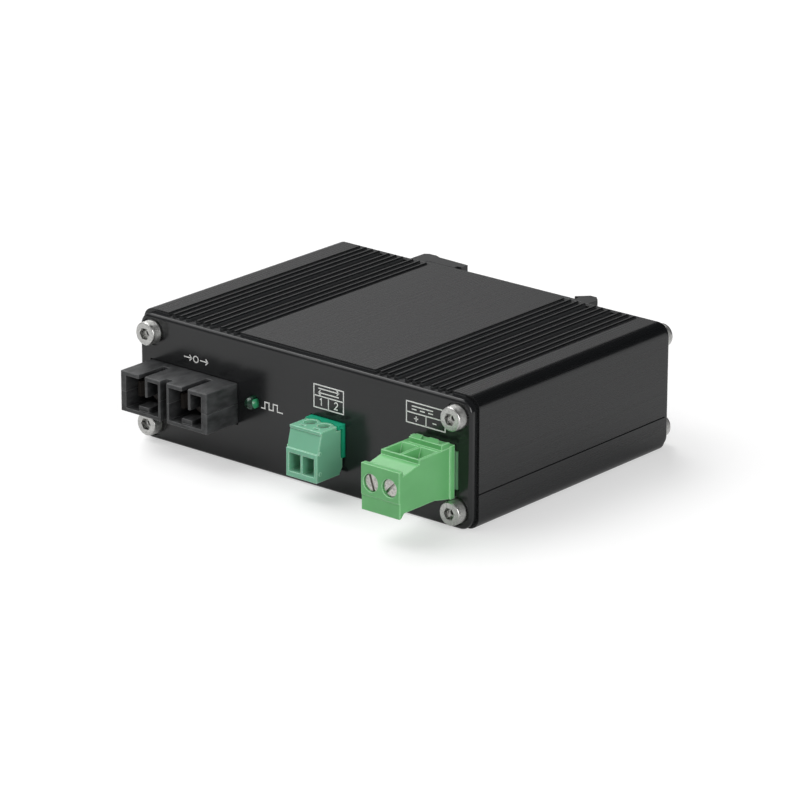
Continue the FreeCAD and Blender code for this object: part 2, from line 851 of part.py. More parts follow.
def data_plug_body():
    lip_z = d_under + data_lip_height
    low_rear = front - 0.3
    plate_low = d_top - data_top_plate
    outline = [(d_face, d_under), (d_face, lip_z), (d_face + 0.4, lip_z),
               (d_face + data_top_setback + 0.25, plate_low), (d_face + data_top_setback, plate_low),
               (d_face + data_top_setback, d_top), (d_roof_front - header_play, d_top),
               (d_roof_front - header_play, d_top - data_header_wall - header_play),
               (d_rear, d_top - data_header_wall - header_play), (d_rear, board_top - header_play),
               (low_rear, board_top - header_play), (low_rear, d_under + 1.5),
               (low_rear - 0.9, d_under + 0.4), (low_rear - 0.9, d_under)]
    sides = about(data_x, data_width / 2)
    body = prism("X", outline, sides)
    body = body.makeChamfer(moulded_edge, side_outlines(body, "X", sides))
    nose_half = data_header_width / 2 - data_header_wall - header_play
    nose = block(about(data_x, nose_half), (d_rear, front + data_nose),
                 (board_top + data_header_wall + header_play,
                  board_top + data_header_height - data_header_wall - header_play))
    turrets = [rod("Z", (x, d_axis_y), (d_top - data_header_wall - header_play, d_top), data_turret_radius)
               for x in data_poles]
    dots = [rod("X", (d_face + 1.0, d_under + height), (sides[0] - moulded_edge, sides[1] + moulded_edge),
                data_dot_radius) for height in data_dot_heights]
    cutters = []
    for x in data_poles:
        wire_z = (d_under + data_wire_floor, d_under + data_wire_floor + data_wire_height)
        cavity_half = data_cage_width / 2 + fit_gap
        cutters.append(block(about(x, data_wire_width / 2), (d_face - 1, d_axis_y), wire_z))
        cutters.append(block(about(x, cavity_half), (d_cage_y[0] - header_play, d_cage_y[1] + header_play),
                             (d_cage_low - fit_gap, d_cavity_top)))
        cutters.append(rod("Z", (x, d_axis_y), (d_shoulder_top, d_top + 1),
                           data_screw_head_radius + screw_running_gap))
        cutters.append(rod("Z", (x, d_axis_y), (d_cavity_top - 1, d_shoulder_top + 1),
                           data_screw_radius + screw_running_gap))
        cutters.append(block(about(x, 0.8), about(d_face + 2.6, 0.25), (d_top - 1.0, d_top + 1)))
        cutters.append(data_contact(x, True))
        cutters.append(block(about(x, data_pin_size / 2 + 2 * fit_gap), (front, front + data_nose + 1),
                             about(data_pin_z(), data_pin_size / 2 + 2 * fit_gap)))
    return without(joined([body, nose] + turrets + dots), cutters)


def data_screw(x):
    """A slotted clamp screw that stands on the contact strip, its head under the plug's top."""
    head = rod("Z", (x, d_axis_y), (d_head_top - data_screw_head_height, d_head_top), data_screw_head_radius)
    shank = rod("Z", (x, d_axis_y), (d_strip_top + screw_running_gap, d_head_top), data_screw_radius)
    slot = block(about(x, 2 * data_screw_head_radius), about(d_axis_y, 0.22), (d_head_top - 0.6, d_head_top + 1))
    return without(joined([head, shank]), [slot])


def data_clamp(x):
    """The cage that the screw lifts, open along the wire."""
    outer = block(about(x, data_cage_width / 2), d_cage_y, (d_cage_low, d_bar_low + data_cage_bar))
    window = block(about(x, data_cage_width / 2 - data_cage_side), (d_cage_y[0] - 1, d_cage_y[1] + 1),
                   (d_window_low, d_bar_low))
    thread = rod("Z", (x, d_axis_y), (d_bar_low - 1, d_bar_low + data_cage_bar + 1),
                 data_screw_radius + screw_running_gap)
    return without(outer, [window, thread])


# Power plug. Its screws face the front and its wires enter from the top.

p_under = board_top - power_drop
p_front_top = p_under + power_front_height
p_deck = p_under + power_deck_height
p_face = front - power_length
p_axis_z = p_under + power_screw_height
p_rear = front - power_rear_gap
p_head_face = p_face + power_screw_recess
p_shoulder_front = p_head_face + power_screw_head_height + screw_running_gap
p_cavity_front = p_shoulder_front + power_shoulder
p_bar_front = p_cavity_front + fit_gap + power_travel
p_window_front = p_bar_front + power_cage_bar
p_window_rear = p_window_front + power_cage_room
p_cage_rear = p_window_rear + power_cage_rear
p_plate_front = p_window_front + fit_gap
p_plate_rear = p_plate_front + power_strip
p_cage_z = about(p_axis_z, power_cage_height / 2)
p_tongue_top = p_cage_z[0] - 2 * fit_gap - header_play
p_tongue_low = p_tongue_top - power_strip
p_riser_front = p_cage_rear + 1.0


def power_contact(x, solid):
    """One contact: an upright plate behind the screw, a tongue below the cage, and a box round the pin."""
    width = about(x, power_cage_width / 2 - power_cage_side - 2 * fit_gap)
    pin_z = power_pin_z()
    half_box = power_pin_size / 2 + 0.7
    plate = block(width, (p_plate_front, p_plate_rear), (p_tongue_low, p_cage_z[1] - fit_gap))
    tongue = block(width, (p_plate_front, p_riser_front + power_strip), (p_tongue_low, p_tongue_top))
    riser = block(width, (p_riser_front, p_riser_front + power_strip), (p_tongue_low, pin_z + power_strip / 2))
    box_front = front - 1.0
    box_end = front + power_nose - 0.6
    tail = block(width, (p_riser_front, box_front), about(pin_z, power_strip / 2))
    box = block(about(x, half_box), (box_front, box_end), about(pin_z, half_box))
    shape = joined([plate, tongue, riser, tail, box])
    if solid:
        return shape
    bore = block(about(x, power_pin_size / 2 + fit_gap), (box_front, box_end + 1),
                 about(pin_z, power_pin_size / 2 + fit_gap))
    return without(shape, [bore])


def power_plug_contacts():
    return [power_contact(x, False) for x in power_poles]


def funnel(x):
    """The tapered wire entry above one cage."""
    mouth_y = (front - deck_front + 0.5, front - deck_front + 0.5 + funnel_length)
    foot_y = (p_plate_rear + fit_gap, p_window_rear)
    foot_half = power_cage_width / 2 - power_cage_side
    foot_z = p_cage_z[1] + fit_gap
    top_z = p_deck

    def ring(half, y, z):
        return Part.makePolygon([V(x - half, y[0], z), V(x + half, y[0], z), V(x + half, y[1], z),
                                 V(x - half, y[1], z), V(x - half, y[0], z)])
    taper = Part.makeLoft([ring(foot_half, foot_y, foot_z), ring(funnel_width / 2, mouth_y, top_z)], True, True)
    mouth = block(about(x, funnel_width / 2), mouth_y, (top_z, top_z + 1))
    return [taper, mouth]


def power_comb():
    """The toothed latch edge behind the wire entries: a low wall with two teeth and a corner post."""
    wall_front = front - deck_rear
    wall_rear = wall_front + comb_wall
    tooth_rear = wall_front + comb_depth
    heights = (p_deck, p_deck + comb_height)
    half = power_width / 2
    left, right = power_x - half, power_x + half
    wall_piece = block((left + 1.6, right), (wall_front, wall_rear), heights)
    first = [(left + 1.6, wall_front), (left + 4.2, wall_front), (left + 4.2, wall_rear),
             (left + 3.3, tooth_rear), (left + 1.6, tooth_rear)]
    second = [(left + 5.2, wall_front), (right - 1.3, wall_front), (right - 1.3, wall_rear),
              (right - 3.0, tooth_rear), (left + 5.2, tooth_rear)]
    post = block((right - 0.6, right), (wall_front, tooth_rear), heights)
    return [wall_piece, prism("Z", first, heights), prism("Z", second, heights), post]


def power_plug_body():
    step_z = p_under + 3.5
    flange_front = p_rear - power_flange
    outline = [(p_face + 0.2, p_under), (p_face + 0.2, step_z - 0.2), (p_face, step_z),
               (p_face, p_front_top), (p_face + power_front_plate, p_front_top),
               (p_face + power_front_plate, p_front_top - power_front_drop),
               (front - deck_front, p_deck - power_deck_step), (front - deck_front, p_deck), (flange_front, p_deck),
               (p_rear, p_deck), (p_rear, p_under), (flange_front, p_under),
               (front - deck_rear - 0.4, p_under + 0.6), (front - deck_rear - 2.0, p_under + 1.0),
               (p_face + 1.7, p_under + 1.0), (p_face + 0.7, p_under)]
    sides = about(power_x, power_width / 2)
    body = prism("X", outline, sides)
    body = body.makeChamfer(moulded_edge, side_outlines(body, "X", sides))
    flange = block(about(power_x, power_width / 2 + power_flange_side), (flange_front, p_rear),
                   (p_under, p_deck + 0.35))
    flange = flange.makeChamfer(moulded_edge, edges_at(flange, "Y", flange_front))
    nose = block(about(power_x, power_header_width / 2 - power_header_wall - header_play),
                 (p_rear, front + power_nose),
                 (board_top + power_header_wall + header_play,
                  board_top + power_header_height - power_header_wall - header_play))
    cutters = []
    for x in power_poles:
        cutters.append(rod("Y", (x, p_axis_z), (p_face - 1, p_shoulder_front), power_screw_hole))
        cutters.append(rod("Y", (x, p_axis_z), (p_shoulder_front - 1, p_cavity_front + 1),
                           power_screw_radius + screw_running_gap))
        cutters.append(block(about(x, power_cage_width / 2 + fit_gap), (p_cavity_front, p_cage_rear + fit_gap),
                             (p_cage_z[0] - fit_gap, p_cage_z[1] + fit_gap)))
        cutters += funnel(x)
        cutters.append(power_contact(x, True))
        cutters.append(block(about(x, power_pin_size / 2 + 2 * fit_gap), (front, front + power_nose + 1),
                             about(power_pin_z(), power_pin_size / 2 + 2 * fit_gap)))
    return without(joined([body, flange, nose] + power_comb()), cutters)


def power_screw(x, slot_angle):
    """A slotted clamp screw that bears on the contact's plate, its head in the plug's face."""
    head = rod("Y", (x, p_axis_z), (p_head_face, p_head_face + power_screw_head_height), power_screw_head_radius)
    shank = rod("Y", (x, p_axis_z), (p_head_face, p_plate_front - screw_running_gap), power_screw_radius)
    slot = block(about(x, 0.28), (p_head_face - 1, p_head_face + 0.8), about(p_axis_z, 2 * power_screw_radius))
    slot.rotate(V(x, 0, p_axis_z), DIRECTION["Y"], slot_angle)
    return without(joined([head, shank]), [slot])


def power_clamp(x):
    """The cage that the screw draws forward, open along the wire."""
    outer = block(about(x, power_cage_width / 2), (p_bar_front, p_cage_rear), p_cage_z)
    window = block(about(x, power_cage_width / 2 - power_cage_side), (p_window_front, p_window_rear),
                   (p_cage_z[0] - 1, p_cage_z[1] + 1))
    thread = rod("Y", (x, p_axis_z), (p_bar_front - 1, p_window_front + 1), power_screw_radius + screw_running_gap)
    return without(outer, [window, thread])


# Rail clip. Its outline is given in plan, and it stands upright on the rear panel.

c_face = rear + clip_base
c_nose = c_face + rail_slot
c_back = c_nose + hook_thickness
c_pocket = (rear + clip_floor, rear + clip_floor + tongue_plate + 2 * tongue_play)
c_latch_nose = fixed_nose - rail_gap
c_start = -latch_outer + latch_head_length + header_play
c_window_start = tongue_end - 5.0 - spring_window


def clip_screws():
    """Two countersunk screws that hold the clip's base to the rear panel."""
    screws = []
    for side in (-1, 1):
        z = middle_z + side * clip_screw_spread
        cone = Part.makeCone(screw_radius, flat_head_radius, flat_head_height,
                             V(clip_screw_x, c_face - flat_head_height, z), V(0, 1, 0))
        shank = rod("Y", (clip_screw_x, z), (half_length, c_face - flat_head_height), screw_radius)
        socket = prism("Y", hex_outline(2.0, (clip_screw_x, z)), (c_face - 1.1, c_face))
        screws.append(without(joined([cone, shank]), [socket]))
    return screws


def spring_post_block():
    start = c_window_start + tongue_play
    return block((start, start + spring_post), c_pocket, about(middle_z, spring_window_half - tongue_play))


def din_clip_base():
    """The base plate with the fixed hook, hollowed for the latch's tongue."""
    slot_end = fixed_nose + rail_grip
    outline = [(c_start, rear), (clip_end - 0.5, rear), (clip_end, rear + 0.5), (clip_end, c_back - 1.4),
               (clip_end - 1.4, c_back), (fixed_nose + 2.4, c_back), (fixed_nose, c_nose + 0.2),
               (fixed_nose, c_nose), (slot_end, c_nose), (slot_end, c_face), (c_start, c_face)]
    body = prism("Z", outline, (clip_low, clip_high))
    pocket = block((c_start - 1, tongue_end + 2.0), c_pocket, about(middle_z, tongue_half + tongue_play))
    hollow = without(body, [pocket])
    heads = [Part.makeCone(screw_radius, flat_head_radius, flat_head_height,
                           V(clip_screw_x, c_face - flat_head_height, middle_z + side * clip_screw_spread),
                           V(0, 1, 0)) for side in (-1, 1)]
    holes = [rod("Y", (clip_screw_x, middle_z + side * clip_screw_spread), (rear - 1, c_face),
                 screw_radius + screw_play) for side in (-1, 1)]
    return without(joined([hollow, spring_post_block()]), heads + holes)


def din_latch():
    """The sliding hook with its windowed tongue."""
    low = rear + 0.3
    over = c_face + header_play
    inner = -latch_outer + latch_head_length
    outline = [(-latch_outer, low), (-latch_outer, c_back - 0.1), (-latch_outer + 1.0, c_back + 0.6),
               (-latch_outer + 3.2, c_back + 0.6), (-latch_outer + 4.4, c_back), (c_latch_nose, c_back - 0.4),
               (c_latch_nose, c_nose), (c_latch_nose - rail_grip, c_nose), (c_latch_nose - rail_grip, over),
               (inner, over), (inner, low)]
    head = prism("Z", outline, (clip_low, clip_high))
    tongue = block((inner - 0.5, tongue_end), (c_pocket[0] + tongue_play, c_pocket[1] - tongue_play),
                   about(middle_z, tongue_half))
    window = block((c_window_start, c_window_start + spring_window), c_pocket,
                   about(middle_z, spring_window_half))
    grip = block(about(-latch_outer + 2.2, 0.9), (low, c_back + 1), about(middle_z, 3.0))
    return without(joined([head, tongue]), [window, grip])


def din_spring():
    """A coil spring between the base's post and the end of the latch's window."""
    start = c_window_start + tongue_play + spring_post
    end = c_window_start + spring_window
    length = end - start - 2 * spring_wire
    helix = Part.makeHelix(length / spring_turns, length, spring_radius)
    profile = Part.Wire(Part.makeCircle(spring_wire, V(spring_radius, 0, 0), V(0, 1, 0)))
    coil = Part.Wire(helix.Edges).makePipeShell([profile], True, True)
    coil.rotate(V(0, 0, 0), V(0, 1, 0), 90)
    coil.translate(V(start + spring_wire, sum(c_pocket) / 2, middle_z))
    return coil


# Parts on the circuit board

def on_board(x, y, width, length, height, rise=0.0):
    """A plain moulded body standing on the board."""
    return block(about(x, width / 2), about(y, length / 2), (board_top + rise, board_top + rise + height))


def can_on_board(x, y, radius, height, bevel):
    """An upright round can with a bevelled top edge."""
    can = rod("Z", (x, y), (board_top, board_top + height), radius)
    return can.makeChamfer(bevel, edges_at(can, "Z", board_top + height))


bay_y = front + panel_thickness     # the inner face of the front panel
supply_x = power_x - board_grid     # the column of supply parts behind the power header
middle_x = data_x + 5 * board_grid  # the column of isolating parts
logic_x = data_x - 4 * board_grid   # the column of logic parts beside the receptacle


def row(steps):
    """A distance behind the front panel, in steps of the board's grid."""
    return bay_y + steps * board_grid


def isolated_converter():
    return on_board(middle_x, row(21), converter_length, converter_width, converter_height)


def power_inductor():
    coil = on_board(supply_x, row(12), inductor_width, inductor_width, inductor_height)
    return coil.makeChamfer(inductor_bevel, edges_along(coil, "Z"))


def electrolytic_capacitors():
    return [can_on_board(supply_x + board_grid - k * (2 * capacitor_radius + board_grid / 2), row(17),
                         capacitor_radius, capacitor_height, capacitor_bevel) for k in range(2)]


def voltage_regulator():
    body = on_board(supply_x, row(7), regulator_width, regulator_length, regulator_height)
    tab = on_board(supply_x, row(7) + (regulator_length + regulator_tab) / 2,
                   regulator_width - 2 * regulator_tab_height, regulator_tab, regulator_tab_height)
    return joined([body, tab])


def resettable_fuse():
    return rod("Y", ((data_x + power_x) / 2, board_top + fuse_radius), about(row(2), fuse_thickness / 2),
               fuse_radius)


def chip_places():
    """Each leaded chip on the board: middle, width, length, height, and how many legs a side."""
    small = [(data_x, row(5 + 3 * k), small_chip_width, small_chip_length, small_chip_height, 4)
             for k in range(2)]
    couplers = [(middle_x, row(5.5 + 3 * k), coupler_width, coupler_length, coupler_height, 2)
                for k in range(3)]
    controller = [(logic_x, row(12), controller_width, controller_width, controller_height, 10)]
    return small, couplers, controller


def interface_chips():
    return [on_board(x, y, w, l, h, chip_standoff) for x, y, w, l, h, _ in chip_places()[0]]


def optocouplers():
    return [on_board(x, y, w, l, h, chip_standoff) for x, y, w, l, h, _ in chip_places()[1]]


def controller_chip():
    x, y, w, l, h, _ = chip_places()[2][0]
    return on_board(x, y, w, l, h, chip_standoff)


def chip_legs():
    """The legs on the two long sides of every chip."""
    legs = []
    for group in chip_places():
        for x, y, w, l, h, count in group:
            pitch = l / (count + 0.3)
            for side in (-1, 1):
                for k in range(count):
                    leg_y = y + (k - (count - 1) / 2) * pitch
                    reach = sorted((x + side * w / 2, x + side * (w / 2 + chip_leg_reach)))
                    legs.append(block(reach, about(leg_y, pitch / 5), (board_top, board_top + chip_leg_height)))
    return legs


def quartz_crystal():
    return rounded_bar("Z", about(logic_x, crystal_length / 2), about(row(16), crystal_width / 2),
                       (board_top, board_top + crystal_height), 0.45 * crystal_width)


def surge_diodes():
    return [on_board(data_x + (k - 0.5) * 1.6 * board_grid, row(14.5), diode_width, diode_length, diode_height)
            for k in range(3)]


def chip_resistors():
    return [on_board(data_x + (k - 1) * board_grid, row(17.5), chip_part_width, chip_part_length,
                     resistor_height) for k in range(6)]


def chip_capacitors():
    return [on_board(logic_x + (k - 3) * board_grid, row(20.5), chip_part_width, chip_part_length,
                     chip_capacitor_height) for k in range(6)]


def node_shapes():
    """Every named part of the model."""
    nodes = {
        "upper_shell": upper_shell(),
        "lower_shell": lower_shell(),
        "front_panel": front_panel(),
        "rear_panel": rear_panel(),
        "front_panel_screws": front_panel_screws(),
        "rear_panel_screws": rear_panel_screws(),
        "circuit_board": circuit_board(),
        "transceiver_upper_housing": transceiver_upper_housing(),
        "transceiver_lower_housing": transceiver_lower_housing(),
        "ferrule_holders": ferrule_holders(),
        "transceiver_optics": transceiver_optics(),
        "transceiver_board": transceiver_board(),
        "transceiver_pins": transceiver_pins(),
        "led_lens": led_lens(),
        "led_holder": led_holder(),
        "led_leads": led_leads(),
        "data_header": data_header(),
        "data_header_pins": data_header_pins(),
        "data_plug_body": data_plug_body(),
        "data_plug_contacts": data_plug_contacts(),
        "power_header": power_header(),
        "power_header_pins": power_header_pins(),
        "power_plug_body": power_plug_body(),
        "power_plug_contacts": power_plug_contacts(),
        "din_clip_base": din_clip_base(),
        "din_latch": din_latch(),
        "din_spring": din_spring(),
        "din_clip_screws": clip_screws(),
        "isolated_converter": isolated_converter(),
        "power_inductor": power_inductor(),
        "electrolytic_capacitors": electrolytic_capacitors(),
        "voltage_regulator": voltage_regulator(),
        "resettable_fuse": resettable_fuse(),
        "interface_chips": interface_chips(),
        "optocouplers": optocouplers(),
        "controller_chip": controller_chip(),
        "chip_legs": chip_legs(),
        "quartz_crystal": quartz_crystal(),
        "surge_diodes": surge_diodes(),
        "chip_resistors": chip_resistors(),
        "chip_capacitors": chip_capacitors(),
    }
    for number, (data_pole, power_pole) in enumerate(zip(data_poles, power_poles), start=1):
        nodes["data_screw_%d" % number] = data_screw(data_pole)
        nodes["data_clamp_%d" % number] = data_clamp(data_pole)
        nodes["power_screw_%d" % number] = power_screw(power_pole, slot_angles[number - 1])
        nodes["power_clamp_%d" % number] = power_clamp(power_pole)
    return nodes


def main():
    os.makedirs("parts", exist_ok=True)
    for name, shape in node_shapes().items():
        pieces = shape if isinstance(shape, list) else [shape]
        solids = [solid for piece in pieces for solid in piece.Solids]
        whole = solids[0] if len(solids) == 1 else Part.makeCompound(solids)
        whole.exportStep("parts/%s.step" % name)
        print(name, len(solids), "solids", round(sum(solid.Volume for solid in solids), 1), "mm3")


main()
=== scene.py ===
# %% [markdown]
# # A fibre media converter, dressed in Blender
#
# The object is a flat black aluminium box with a ribbed top, a panel at each end, a duplex fibre
# receptacle, a small green lamp and two green pull-off screw terminals. Its solids come ready made
# from a CAD model. This notebook gives them their real finishes and adds what is too fine for the
# solids: knurling, printing, the inside of the lamp and the drill marks in the screws. It also makes a
# coil spring in place of the clip's solid one, and sets up the floor, the light and the camera.
#
# Everything is in metres, X along the front panel, Y to the rear, Z up.

import math

import bpy
import numpy as np
from mathutils import Matrix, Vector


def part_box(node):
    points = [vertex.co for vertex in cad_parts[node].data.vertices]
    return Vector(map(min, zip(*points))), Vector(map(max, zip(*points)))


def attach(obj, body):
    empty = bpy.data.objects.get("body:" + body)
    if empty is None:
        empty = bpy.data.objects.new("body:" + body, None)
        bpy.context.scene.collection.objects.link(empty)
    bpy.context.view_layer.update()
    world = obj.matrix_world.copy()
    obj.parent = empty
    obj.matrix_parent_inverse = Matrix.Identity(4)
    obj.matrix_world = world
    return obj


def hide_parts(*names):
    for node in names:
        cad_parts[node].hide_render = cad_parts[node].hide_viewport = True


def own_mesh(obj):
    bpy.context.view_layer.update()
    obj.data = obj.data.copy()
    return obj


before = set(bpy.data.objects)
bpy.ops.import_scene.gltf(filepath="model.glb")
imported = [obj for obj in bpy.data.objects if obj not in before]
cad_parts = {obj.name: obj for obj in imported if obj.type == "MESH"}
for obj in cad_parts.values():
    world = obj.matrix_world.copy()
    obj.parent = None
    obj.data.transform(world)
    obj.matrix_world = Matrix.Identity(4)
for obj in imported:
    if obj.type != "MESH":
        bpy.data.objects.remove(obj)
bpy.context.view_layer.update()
scene = bpy.context.scene
mm = 0.001

# %% [markdown]
# ## Colours and nodes
#
# A colour picked from a screen is an sRGB value, but a shader works with linear light, so one
# function turns the hex value into linear numbers. A second function adds a shader node with its
# settings, its values and its links in one call, which keeps each recipe below short enough to read
# from top to bottom. The alternative, wiring nodes by hand in the editor, gives the same result but
# can't be read as text.

# %% Colour and node helpers


def linear(hex_colour):
    """sRGB to linear: below 0.04045 divide by 12.92, above it raise (c + 0.055) / 1.055 to 2.4."""
    values = np.array([int(hex_colour[k:k + 2], 16) for k in (1, 3, 5)]) / 255
    values = np.where(values <= 0.04045, values / 12.92, ((values + 0.055) / 1.055) ** 2.4)
    return tuple(float(v) for v in values) + (1.0,)


def add_node(tree, kind, settings=None, values=None, links=None, stops=()):
    """Adds a node. settings are its properties, values its unlinked sockets, and links maps a
    socket to (node, output). stops are the (position, hex colour) pairs of a colour ramp."""
    node = tree.nodes.new(kind)
    for name, value in (settings or {}).items():
        setattr(node, name, value)
    for socket, value in (values or {}).items():
        node.inputs[socket].default_value = value
    for socket, (source, output) in (links or {}).items():
        tree.links.new(source.outputs[output], node.inputs[socket])
    for k, (position, colour) in enumerate(stops):
        node.color_ramp.elements[k].position = position
        node.color_ramp.elements[k].color = linear(colour)
    return node


print("middle grey in linear light:", linear("#808080")[:3])

# %% [markdown]
# ## What all finishes share
#
# Each finish below needs three things: a material to fill, a pattern with a real size, and a way for
# that pattern to act on the gloss and the relief together. A scratch or a grain is both rougher and
# deeper than what surrounds it, so one pattern drives both. The patterns are procedural and read
# Object coordinates, which stay fixed to the solid when it moves. Pictures wrapped round the solids
# would need a UV map for each, and procedural noise needs none.

# %% Material helpers


def new_material(name):
    """A material without nodes, and its empty node tree."""
    material = bpy.data.materials.new(name)
    material.use_nodes = True
    material.node_tree.nodes.clear()
    return material, material.node_tree


def complete(material, shader):
    """Joins a shader to the material's output and says how large the recipe is."""
    add_node(material.node_tree, "ShaderNodeOutputMaterial", links={"Surface": (shader, 0)})
    print(material.name, len(material.node_tree.nodes), "nodes")
    return material


def object_pattern(tree, per_mm, values=None, kind="ShaderNodeTexNoise"):
    """A pattern on Object coordinates, with so many repeats per millimetre along X, Y and Z."""
    place = add_node(tree, "ShaderNodeTexCoord")
    stretch = add_node(tree, "ShaderNodeMapping", values={"Scale": [count / mm for count in per_mm]},
                       links={"Vector": (place, "Object")})
    return add_node(tree, kind, None, {"Scale": 1.0, **(values or {})}, {"Vector": (stretch, "Vector")})


def relief(tree, pattern, rough, strength, depth, normal=None):
    """The shader links of a surface texture. The roughness goes from the first to the second value of
    rough while the pattern goes from 0.25 to 0.75, and the normal leans as the pattern rises by
    depth. normal is the (node, output) to lean from, where it isn't the mesh's own."""
    gloss = add_node(tree, "ShaderNodeMapRange",
                     values={"From Min": 0.25, "From Max": 0.75, "To Min": rough[0], "To Max": rough[1]},
                     links={"Value": (pattern, "Fac")})
    base = {"Normal": normal} if normal else {}
    bump = add_node(tree, "ShaderNodeBump", values={"Strength": strength, "Distance": depth},
                    links={"Height": (pattern, "Fac"), **base})
    return {"Roughness": (gloss, "Result"), "Normal": (bump, "Normal")}


def object_axes(tree):
    """A node whose outputs X, Y and Z are the place on the object, in metres."""
    place = add_node(tree, "ShaderNodeTexCoord")
    return add_node(tree, "ShaderNodeSeparateXYZ", links={"Vector": (place, "Object")})


print("a pattern of 2 repeats per mm has a scale of", 2 / mm)

# %% [markdown]
# ## Black anodised extrusion
#
# The two shells of the case are extruded aluminium, so they carry fine lines along the direction
# they left the die, which is Y. Anodising grows a clear oxide film that is dyed black. The dye
# swallows what reaches the metal, so what the eye sees is the gloss of the film: about a twentieth
# of the room head on and far more at a low angle. So the shader is no metal but a nearly black
# dielectric, and its tone comes from what it mirrors. A noise stretched over two hundredfold along Y
# makes the die lines. They drive roughness and a shallow bump, because a real line is a tiny groove.
# Real lines are near 0.1 mm apart, less than half a pixel here, so they are drawn at 0.35 mm. The
# floors of the grooves between the ribs are painted a lighter grey: painted light that stands in for
# the light the grooves catch. Object coordinates pick them out by their height, away from the rounded
# side edges. The roughness is the same in all directions: an anisotropic shader's default tangent
# runs round the Z axis, and would draw a star in the middle of the flat top.

# %% Extrusion material
shell_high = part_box("upper_shell")[1]
ribbed_half_width = shell_high[0] - 3.7 * mm
groove_middle = shell_high[2] - 0.75 * mm
groove_half_height = 0.45 * mm


def anodised_extrusion():
    """Near black with die lines, and painted lighter grey where |x| is within the ribbed width and z is
    within the grooves' half height of their middle: painted light on the groove floors. Each test
    gives 0 or 1, and their product is the mask."""
    material, tree = new_material("black_anodised_extrusion")
    lines = object_pattern(tree, (2.9, 0.012, 2.9), {"Detail": 5.0, "Roughness": 0.62})
    skin = add_node(tree, "ShaderNodeValToRGB", links={"Fac": (lines, "Fac")},
                    stops=[(0.30, "#0F1011"), (0.72, "#161718")])
    axes = object_axes(tree)
    in_width = add_node(tree, "ShaderNodeMath", {"operation": "COMPARE"},
                        {1: 0.0, 2: ribbed_half_width}, {0: (axes, "X")})
    in_height = add_node(tree, "ShaderNodeMath", {"operation": "COMPARE"},
                         {1: groove_middle, 2: groove_half_height}, {0: (axes, "Z")})
    painted_groove_light = add_node(tree, "ShaderNodeMath", {"operation": "MULTIPLY"},
                         links={0: (in_width, "Value"), 1: (in_height, "Value")})
    # Painted light: the groove floors are mixed towards a lighter grey than the skin.
    colour = add_node(tree, "ShaderNodeMix", {"data_type": "RGBA"}, {7: linear("#3B3C3D")},
                      {0: (painted_groove_light, "Value"), 6: (skin, "Color")})
    shader = add_node(tree, "ShaderNodeBsdfPrincipled", values={"IOR": 1.5},
                      links={"Base Color": (colour, 2),
                             **relief(tree, lines, (0.30, 0.23), 0.03, 0.03 * mm)})
    return complete(material, shader)


extrusion = anodised_extrusion()

# %% [markdown]
# ## Black anodised plate
#
# The end panels are rolled plate, smoother than the extrusions: close to the receptacle they mirror
# its side, only a little blurred. So the film's roughness is low here. Rolling leaves faint streaks
# along X, drawn as a stretched noise. They are drawn 0.4 mm apart, coarser than real ones, because
# finer ones would be lost between the pixels. A second, much larger noise of 20 mm shifts the tone by
# a shade, as a dye bath does. The rounded top edge gets painted shade: a lower specular level makes
# it mirror less, which dims its highlight.

# %% Panel material
top_edge_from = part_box("front_panel")[1][2] - 0.75 * mm


def anodised_plate():
    """Near black with rolling streaks. The tone is 0.7 of the dye's drift plus 0.3 of the streaks, and
    the specular level is a half, less 0.28 above the height where the edge begins."""
    material, tree = new_material("black_anodised_plate")
    streaks = object_pattern(tree, (0.05, 2.5, 2.5), {"Detail": 3.0})
    dye = object_pattern(tree, (0.05, 0.05, 0.05), {"Detail": 1.0})
    drift = add_node(tree, "ShaderNodeMath", {"operation": "MULTIPLY"}, {1: 0.7}, {0: (dye, "Fac")})
    tone = add_node(tree, "ShaderNodeMath", {"operation": "MULTIPLY_ADD"}, {1: 0.3},
                    {0: (streaks, "Fac"), 2: (drift, "Value")})
    colour = add_node(tree, "ShaderNodeValToRGB", links={"Fac": (tone, "Value")},
                      stops=[(0.35, "#151617"), (0.65, "#1C1D1E")])
    # Painted shade: the specular level drops on the rounded top edge, which dims its highlight.
    dimmed_edge_highlight = add_node(tree, "ShaderNodeMath", {"operation": "GREATER_THAN"}, {1: top_edge_from},
                       {0: (object_axes(tree), "Z")})
    specular = add_node(tree, "ShaderNodeMath", {"operation": "MULTIPLY_ADD"}, {1: -0.28, 2: 0.5},
                        {0: (dimmed_edge_highlight, "Value")})
    shader = add_node(tree, "ShaderNodeBsdfPrincipled", values={"IOR": 1.5},
                      links={"Base Color": (colour, "Color"), "Specular IOR Level": (specular, "Value"),
                             **relief(tree, streaks, (0.22, 0.17), 0.03, 0.02 * mm)})
    return complete(material, shader)


plate = anodised_plate()

# %% [markdown]
# ## Moulded plastics
#
# The receptacle is PBT, the terminals and the rail clip are polyamide. All of them leave a steel
# mould whose walls were spark eroded to a fine texture, so they share one recipe: a grain that moves
# roughness and bump, and a slow drift of tone where the melt flowed. A real grain is finer than a
# tenth of a millimetre. It is drawn at about a quarter of one, a little over a pixel, so that it
# shows. Only colour and gloss differ, so one function takes them as values. Polyamide lets a
# little light in, which softens its shadows: a small subsurface share does that. The thin outer
# edges get a painted highlight: near them the colour turns paler, which stands in for the light
# that their rounding catches. Modelled fillets would cost many faces, so a Bevel node finds the
# edges in the shader.

# %% Plastic recipe
edge_radius = 0.28 * mm


